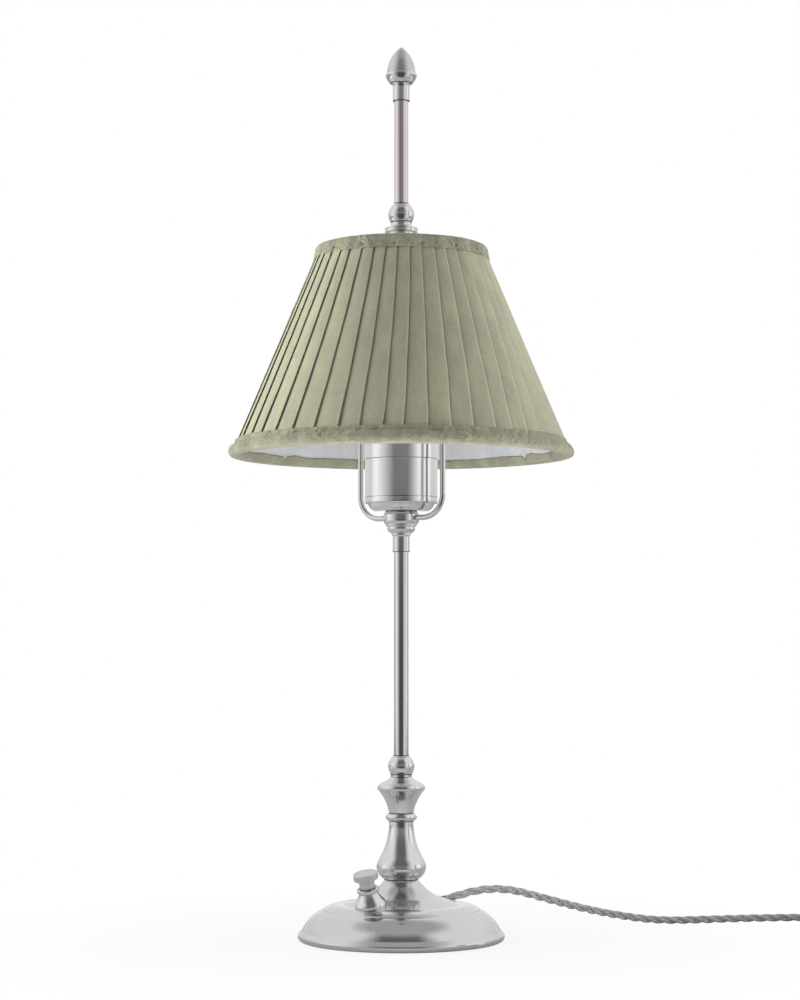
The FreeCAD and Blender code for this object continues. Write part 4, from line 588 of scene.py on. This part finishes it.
def coil_points():
    """The coil's points, inwards below and outwards on top, and the point where it ends."""
    points = []
    x, y, z = COIL_START_MM
    ahead = 1
    steps = [*range(COIL_HALF_TURNS, -1, -1), *range(1, COIL_HALF_TURNS)]
    for order, step in enumerate(steps):
        radius = COIL_INNER_MM + step * COIL_PITCH_MM / 2
        climb = COIL_PITCH_MM if order == COIL_HALF_TURNS else 0.0
        points += arc_corners((x, y, z), ahead, radius, climb, COIL_CORNERS)
        y -= ahead * 2 * radius
        z += climb
        ahead = -ahead
    radius = COIL_INNER_MM + COIL_HALF_TURNS * COIL_PITCH_MM / 2
    points += arc_corners((x, y, z), ahead, radius, 0.0, COIL_CORNERS // 2)
    # a short straight run, one cord wide, ends the coil
    return points, (x + ahead * radius, y - ahead * (radius + CORD_DIAMETER / MM), z)


def cord_line():
    """The points of the one smooth line that the cord follows from inside the base to the plug."""
    coil, (x, y, z) = coil_points()
    tail = [(x + dx, y + dy, z + dz) for dx, dy, dz in TAIL_ROUTE_MM]
    route = [outlet_place(distance) for distance in OUTLET_RUN_MM] + LEAD_ROUTE_MM + coil + tail
    curve = bpy.data.curves.new("cord_route", "CURVE")
    curve.dimensions = "3D"
    spline = curve.splines.new("NURBS")
    spline.points.add(len(route) - 1)
    for point, place in zip(spline.points, route):
        point.co = (place[0] * MM, place[1] * MM, place[2] * MM, 1.0)
    spline.order_u = 3
    spline.use_endpoint_u = True
    spline.resolution_u = 10
    guide = bpy.data.objects.new("cord_guide", curve)
    scene.collection.objects.link(guide)
    bpy.context.view_layer.update()
    read = bpy.data.meshes.new_from_object(guide)
    path = [vertex.co.copy() for vertex in read.vertices]
    bpy.data.meshes.remove(read)
    bpy.data.objects.remove(guide)
    return path


def even_steps(path, step):
    """Points at even steps along a line, with their distances."""
    marks = np.array([tuple(point) for point in path])
    lengths = even_lengths(marks)
    count = max(2, int(round(lengths[-1] / step)))
    wanted = np.linspace(0, lengths[-1], count + 1)
    places = np.stack([np.interp(wanted, lengths, marks[:, axis]) for axis in range(3)], axis=1)
    return places, wanted


def carried_frames(places):
    """For each point, two directions across the line that don't spin along it."""
    along = np.gradient(places, axis=0)
    along /= np.linalg.norm(along, axis=1)[:, None]
    side = np.cross(along[0], (0, 0, 1.0))
    side /= np.linalg.norm(side)
    sides = []
    for direction in along:
        side = side - direction * np.dot(side, direction)
        side /= np.linalg.norm(side)
        sides.append(side.copy())
    sides = np.array(sides)
    return sides, np.cross(along, sides)


def strand_mesh(places, distances):
    """The cord's strands as tubes twisted right-handed round its line."""
    sides, overs = carried_frames(places)
    corners = range(STRAND_SIDES)
    vertices = []
    faces = []
    for strand in range(STRANDS):
        turns = 2 * math.pi * (strand / STRANDS + distances / STRAND_LAY)
        centres = (places + sides * (STRAND_OFFSET * np.cos(turns))[:, None]
                   + overs * (STRAND_OFFSET * np.sin(turns))[:, None])
        across, over = carried_frames(centres)
        base = len(vertices)
        for index in range(len(centres)):
            for corner in corners:
                angle = 2 * math.pi * corner / STRAND_SIDES
                vertices.append(centres[index] + across[index] * STRAND_RADIUS * math.cos(angle)
                                + over[index] * STRAND_RADIUS * math.sin(angle))
        faces += moved_faces(ring_faces(len(centres), STRAND_SIDES), base)
        faces += moved_faces([reversed(corners)], base)
        faces += moved_faces([corners], base + (len(centres) - 1) * STRAND_SIDES)
    return vertices, faces


cord_path = cord_line()
cord = mesh_object("twisted_cord", *strand_mesh(*even_steps(cord_path, CORD_STEP)), "stand")
cord.data.materials.append(braid("cord_textile"))
cord.visible_glossy = False
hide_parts("cord_lead", "cord_coil", "cord_tail")
tuple(cord_path[0])
[tuple(p) for p in cord_path]


# ---------------------------------------------------------------- painted shade at the stem's joints, and the base's kink ridge

def thin_rings(name, places_mm, roll_mm, around, corners, material):
    """Thin round rings on the stem's axis."""
    vertices = []
    faces = []
    for height, radius in places_mm:
        base = len(vertices)
        for step in range(around):
            angle = 2 * math.pi * step / around
            for corner in range(corners):
                turn = 2 * math.pi * corner / corners
                vertices.append(polar((radius + roll_mm * math.cos(turn)) * MM, angle,
                                      (height + roll_mm * math.sin(turn)) * MM))
        faces += moved_faces(ring_faces(around, corners, closed_across=True), base)
    piece = mesh_object(name, vertices, faces, "stand")
    piece.data.materials.append(MATERIALS[material])


# dark rings of painted shade where the stem's turned pieces meet
thin_rings("joint_shade_rings", JOINT_SHADE_RINGS_MM, JOINT_SHADE_ROLL_MM, 96, 8, "black_moulding")
thin_rings("kink_ridge", [KINK_MM], KINK_ROLL_MM, 240, 20, "base_nickel")


# ---------------------------------------------------------------- shade

shade_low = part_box("shade_band_bottom")[0].z


def fold_radius(height):
    """The radius of the shade's fold line at a height above its rim."""
    return SHADE_BOTTOM_RADIUS - SHADE_SLOPE * height


def make_cloth(piece, thickness, offset, slot, node):
    """Gives a sheet its thickness and its cloth, and puts it in the place of its node."""
    thick = piece.modifiers.new("cloth", "SOLIDIFY")
    thick.thickness = thickness
    thick.offset = offset
    piece.data.materials.append(MATERIALS[slot])
    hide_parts(node)
    piece.visible_glossy = False


def pleat_shift(pleat, share):
    """How far one pleat's fold wanders from even spacing, in degrees."""
    front = len(PLEAT_SHIFTS)
    order = (pleat + front - FIRST_BACK_PLEAT) % PLEATS
    if order < front:
        low, high = PLEAT_SHIFTS[order]
    else:
        # behind the lamp the pleats even out from the last front one to the first
        back = (order - front + 1) / (PLEATS - front + 1)
        low, high = [last + (first - last) * back
                     for first, last in zip(PLEAT_SHIFTS[0], PLEAT_SHIFTS[-1])]
        low += BACK_WANDER * noise.noise(Vector((pleat * 7.3, 0.4, 1.7)))
        high += BACK_WANDER * noise.noise(Vector((pleat * 3.1, 1.6, 5.2)))
    return low + (high - low) * (share - SHIFT_START) / SHIFT_SPAN


def pleated_cover():
    """One folded cloth: each panel rises to its fold, tucks back under it and starts the next."""
    pitch = 2 * math.pi / PLEATS
    start = shade_low + COVER_MARGIN
    end = shade_low + (SHADE_HEIGHT - COVER_MARGIN)
    vertices = []
    for row in range(PLEAT_ROWS):
        share = row / (PLEAT_ROWS - 1)
        height = start + (end - start) * share
        skew = PLEAT_PHASE + PLEAT_LEAN * (share - 0.5)
        for pleat in range(PLEATS):
            shift = math.radians(pleat_shift(pleat, share)) / pitch
            before = math.radians(pleat_shift((pleat - 1) % PLEATS, share)) / pitch
            flutter = 0.05 * noise.noise(Vector((pleat * 3.1, share * 5.0, 5.2)))
            lift = 0.30 * noise.noise(Vector((pleat * 2.3, share * 3.0, 9.1)))
            for across, depth, _ in PLEAT_PANEL:
                swell = math.sin(math.pi * min(across, 1.0)) * 0.12
                own = 1.0 if 0.75 < across else smooth_step(across, 0.0, 0.97)
                sway = before + (shift - before) * own + flutter * own
                wrinkle = 0.13 * noise.noise(Vector((pleat * 1.9 + across * 2.2,
                                                     share * 11.0, 3.3)))
                wrinkle += 0.05 * noise.noise(Vector((pleat * 5.7 + across * 7.0,
                                                      share * 40.0, 6.1)))
                angle = math.radians(-90 + skew) + pitch * (pleat - 1 + across + sway)
                deep = depth * (1.08 - 0.26 * share) - swell - lift * (1 - across) * 0.6 - wrinkle
                radius = fold_radius(height - shade_low) - max(deep, 0.0) * MM
                vertices.append(polar(radius, angle, height))
    faces = ring_faces(PLEAT_ROWS, PLEATS * len(PLEAT_PANEL))
    piece = mesh_object("pleated_cover", vertices, faces, "shade")
    # per point, 1 where a highlight and -1 where shade is painted on the cloth
    fold = piece.data.attributes.new("fold", "FLOAT", "POINT")
    painted_fold_light = [float(point[2]) for point in PLEAT_PANEL]
    fold.data.foreach_set("value", painted_fold_light * (PLEATS * PLEAT_ROWS))
    dye = piece.data.attributes.new("dye", "FLOAT", "POINT")
    dyes = [0.5 + 0.9 * noise.noise(Vector((pleat * 4.7, 8.2, 3.9))) for pleat in range(PLEATS)]
    dye.data.foreach_set("value", [value for value in dyes for _ in PLEAT_PANEL] * PLEAT_ROWS)
    make_cloth(piece, 0.22 * MM, -1, "pleated_cloth", "shade_cover")


def shade_lining():
    """The white lining: a smooth cone with faint pulls over the frame's wires."""
    around = 240
    rows = 30
    vertices = []
    for row in range(rows):
        share = row / (rows - 1)
        height = 1.4 * MM + share * (SHADE_HEIGHT - 5.8 * MM)
        for step in range(around):
            angle = 2 * math.pi * step / around
            slack = 0.25 * wave(100.0, angle, height / MM, 50.0, 40.0)
            slack += 0.12 * wave(100.0, angle, height / MM, 10.0, 44.0, 2.0)
            radius = fold_radius(height) - (5.55 - 0.3 * slack) * MM
            vertices.append(polar(radius, angle, shade_low + height))
    piece = mesh_object("white_lining", vertices, ring_faces(rows, around), "shade")
    make_cloth(piece, 0.3 * MM, 0, "lining_cloth", "shade_lining")


def smooth_outline(points, count):
    """An open line through its points, resampled evenly after rounding."""
    marks = np.array(points, float)
    for _ in range(3):
        cut = [marks[0]]
        for first, second in zip(marks, marks[1:]):
            cut.append(first * 0.75 + second * 0.25)
            cut.append(first * 0.25 + second * 0.75)
        cut.append(marks[-1])
        marks = np.array(cut)
    lengths = even_lengths(marks)
    wanted = np.linspace(0, lengths[-1], count)
    return np.stack([np.interp(wanted, lengths, marks[:, axis]) for axis in range(2)], axis=1)


def degrees_away(angle, place):
    """The degrees from a place round the lamp to an angle, the shorter way; 0 is the front."""
    return (math.degrees(angle) + 90 - place + 180) % 360 - 180


def hem_notch(angle, seams):
    """How far a band's inner edge dips where two lengths of its cloth meet, in millimetres."""
    dip = 0.0
    for seam in seams:
        away = degrees_away(angle, seam)
        dip += 2.2 * math.exp(-(away / 0.9) ** 2) - 0.9 * math.exp(-((away + 4.5) / 3.0) ** 2)
    return dip


def stitch_dent(angle, level, stitches, stitch_level):
    """How deep the hidden stitches pull a band in at a place, in millimetres."""
    dent = 0.0
    up = level - stitch_level
    for order, stitch in enumerate(stitches):
        away = degrees_away(angle, stitch)
        if abs(away) > 12:
            continue
        lean = away - up * (0.35 if order % 2 else -0.3)
        dent += 0.95 * math.exp(-(away / 1.0) ** 2 - (up / 0.8) ** 2)
        dent += 0.38 * math.exp(-(lean / 1.3) ** 2 - (up / 3.2) ** 2)
    return dent


def wrapped_band(name, node, outline_mm, rim, sign, puckers, seed, stitches, stitch_level, seams):
    """A padded cloth band folded over a rim: puckers, stitch pits, a wandering edge, a soft roll.

    Its outline runs up from the rim where sign is 1 and down from it where sign is -1.
    """
    outline = smooth_outline(outline_mm, BAND_ROWS)
    ring = fold_radius(rim) / MM
    run = float(np.sum(np.linalg.norm(np.diff(outline, axis=0), axis=1)))
    vertices = []
    for index, (inset, level) in enumerate(outline):
        share = index / (len(outline) - 1)
        outer = smooth_step(share, 0.62, 0.40)
        along = share * run
        for step in range(BAND_AROUND):
            angle = 2 * math.pi * step / BAND_AROUND
            slow = wave(ring, angle, along, 25.0, seed)
            fine = wave(ring, angle, along, 7.0, seed + 4.0, 2.0)
            crease = abs(wave(ring, angle + along * 0.7 / ring, along, 4.6, seed + 9.0, 2.4)) - 0.2
            pull = max(0.0, wave(ring, angle, along, 12.0, seed + 17.0, 3.0) - 0.18)
            crumple = wave(ring, angle - along * 0.4 / ring, along, 2.8, seed + 51.0)
            swell = (0.35 * slow + 0.38 * fine - 0.42 * crease + 0.10 * crumple) * puckers
            swell -= pull * 1.1 * puckers * math.sin(math.pi * min(1.0, share * 1.6))
            if outer > 0.2:
                swell -= stitch_dent(angle, level, stitches, stitch_level)
            edge = 0.0
            if share < 0.04:
                edge = 0.25 * wave(ring, angle, 0.0, 18.0, seed + 30.0)
            elif share > 0.7:
                hem = smooth_step(share, 0.70, 1.0)
                edge = hem * (0.9 * wave(ring, angle, 0.0, 22.0, seed + 30.0)
                              + 0.4 * wave(ring, angle, 0.0, 6.5, seed + 33.0)
                              - hem_notch(angle, seams))
            height = rim + sign * (level + edge) * MM
            radius = fold_radius(height) - inset * MM + swell * MM * (0.35 + 0.65 * outer)
            vertices.append(polar(radius, angle, shade_low + height))
    faces = ring_faces(len(outline), BAND_AROUND)
    if sign > 0:
        faces = [tuple(reversed(face)) for face in faces]
    piece = mesh_object(name, vertices, faces, "shade")
    make_cloth(piece, 0.35 * MM, -1, "band_cloth", node)


pleated_cover()
shade_lining()
wrapped_band("bottom_band", "shade_band_bottom", BOTTOM_OUTLINE_MM, rim=0.0, sign=1, puckers=2.4,
             seed=3.0, stitches=BOTTOM_STITCHES, stitch_level=7.3, seams=BOTTOM_SEAMS)
wrapped_band("top_band", "shade_band_top", TOP_OUTLINE_MM, rim=SHADE_HEIGHT, sign=-1, puckers=1.7,
             seed=60.0, stitches=TOP_STITCHES, stitch_level=6.3, seams=TOP_SEAMS)


# ---------------------------------------------------------------- studio

def studio_world():
    """A white surround to the eye; to the lamp, two soft boxes, an even top and a dim front."""
    world = bpy.data.worlds.new("studio")
    world.use_nodes = True
    tree = world.node_tree
    tree.nodes.clear()
    direction = add_node(tree, "ShaderNodeTexCoord").outputs["Generated"]
    split = add_node(tree, "ShaderNodeSeparateXYZ", {0: direction})
    back = math_value(tree, "MULTIPLY", split.outputs[1], -1.0)
    turn = math_value(tree, "ARCTAN2", split.outputs[0], back)
    share = map_value(tree, turn, -math.pi, math.pi, 0.0, 1.0)
    up = split.outputs[2]

    def around(stops):
        return ramp(tree, share, [(0.5 + degrees / 360, (light, light, light))
                                  for degrees, light in stops])

    light = around(LIGHT_LOW)
    for rise, above in ((HIGH_RISE, around(LIGHT_HIGH)), (STEEP_RISE, around(LIGHT_STEEP)),
                        (TOP_RISE, TOP_LIGHT)):
        light = mix_colour(tree, map_value(tree, up, *rise, 0.0, 1.0), light, above)
    lit = add_node(tree, "ShaderNodeBackground", {"Color": light}, {"Strength": 1.0})
    white = add_node(tree, "ShaderNodeBackground", None, {"Color": (1, 1, 1, 1), "Strength": 1.0})
    seen = add_node(tree, "ShaderNodeLightPath").outputs["Is Camera Ray"]
    mixed = add_node(tree, "ShaderNodeMixShader", {0: seen, 1: lit.outputs[0], 2: white.outputs[0]})
    output = add_node(tree, "ShaderNodeOutputWorld")
    tree.links.new(mixed.outputs[0], output.inputs["Surface"])
    scene.world = world


def studio_floor():
    """A pale table top that keeps the lamp's soft shadow and fades to the white surround."""
    mesh = bpy.data.meshes.new("floor")
    mesh.from_pydata([(-FLOOR_SIDE, FLOOR_FRONT, 0), (FLOOR_SIDE, FLOOR_FRONT, 0),
                      (FLOOR_SIDE, FLOOR_SIDE, 0), (-FLOOR_SIDE, FLOOR_SIDE, 0)], [],
                     [(0, 1, 2, 3)])
    floor = bpy.data.objects.new("floor", mesh)
    scene.collection.objects.link(floor)
    material, tree, shader = new_material("floor_white")
    shader.inputs["Base Color"].default_value = FLOOR_COLOUR
    shader.inputs["Roughness"].default_value = 0.9
    shader.inputs["Specular IOR Level"].default_value = 0.0
    glow = add_node(tree, "ShaderNodeEmission", None, {"Color": (1, 1, 1, 1), "Strength": 1.0})
    distance = add_node(tree, "ShaderNodeVectorMath", {0: object_place(tree)},
                        operation="LENGTH").outputs["Value"]
    far = map_value(tree, distance, *FLOOR_FADE, *FLOOR_WHITE)
    rays = add_node(tree, "ShaderNodeLightPath")
    mirrored = math_value(tree, "MULTIPLY", rays.outputs["Is Glossy Ray"], FLOOR_MIRRORED)
    seen = math_value(tree, "MAXIMUM", rays.outputs["Is Camera Ray"],
                      rays.outputs["Is Transmission Ray"])
    seen = math_value(tree, "MAXIMUM", seen, mirrored)
    share = math_value(tree, "MULTIPLY", seen, far)
    mixed = add_node(tree, "ShaderNodeMixShader",
                     {0: share, 1: shader.outputs[0], 2: glow.outputs[0]})
    tree.links.new(mixed.outputs[0], tree.nodes["Material Output"].inputs["Surface"])
    mesh.materials.append(material)


def studio_lamp(name, place, target, width, height, brightness, colour):
    """A soft lamp that lights cloth and floor, and that polished metal doesn't mirror."""
    light = bpy.data.lights.new(name, "AREA")
    light.shape = "RECTANGLE"
    light.size = width
    light.size_y = height
    light.energy = brightness * math.pi * width * height
    light.color = colour
    lamp = bpy.data.objects.new(name, light)
    lamp.location = place
    lamp.rotation_euler = (Vector(place) - Vector(target)).to_track_quat("Z", "Y").to_euler()
    lamp.visible_glossy = False
    lamp.visible_camera = False
    scene.collection.objects.link(lamp)


studio_world()
studio_floor()
for name, row in STUDIO_LAMPS.items():
    studio_lamp(name, *row)
scene.view_settings.view_transform = "Standard"
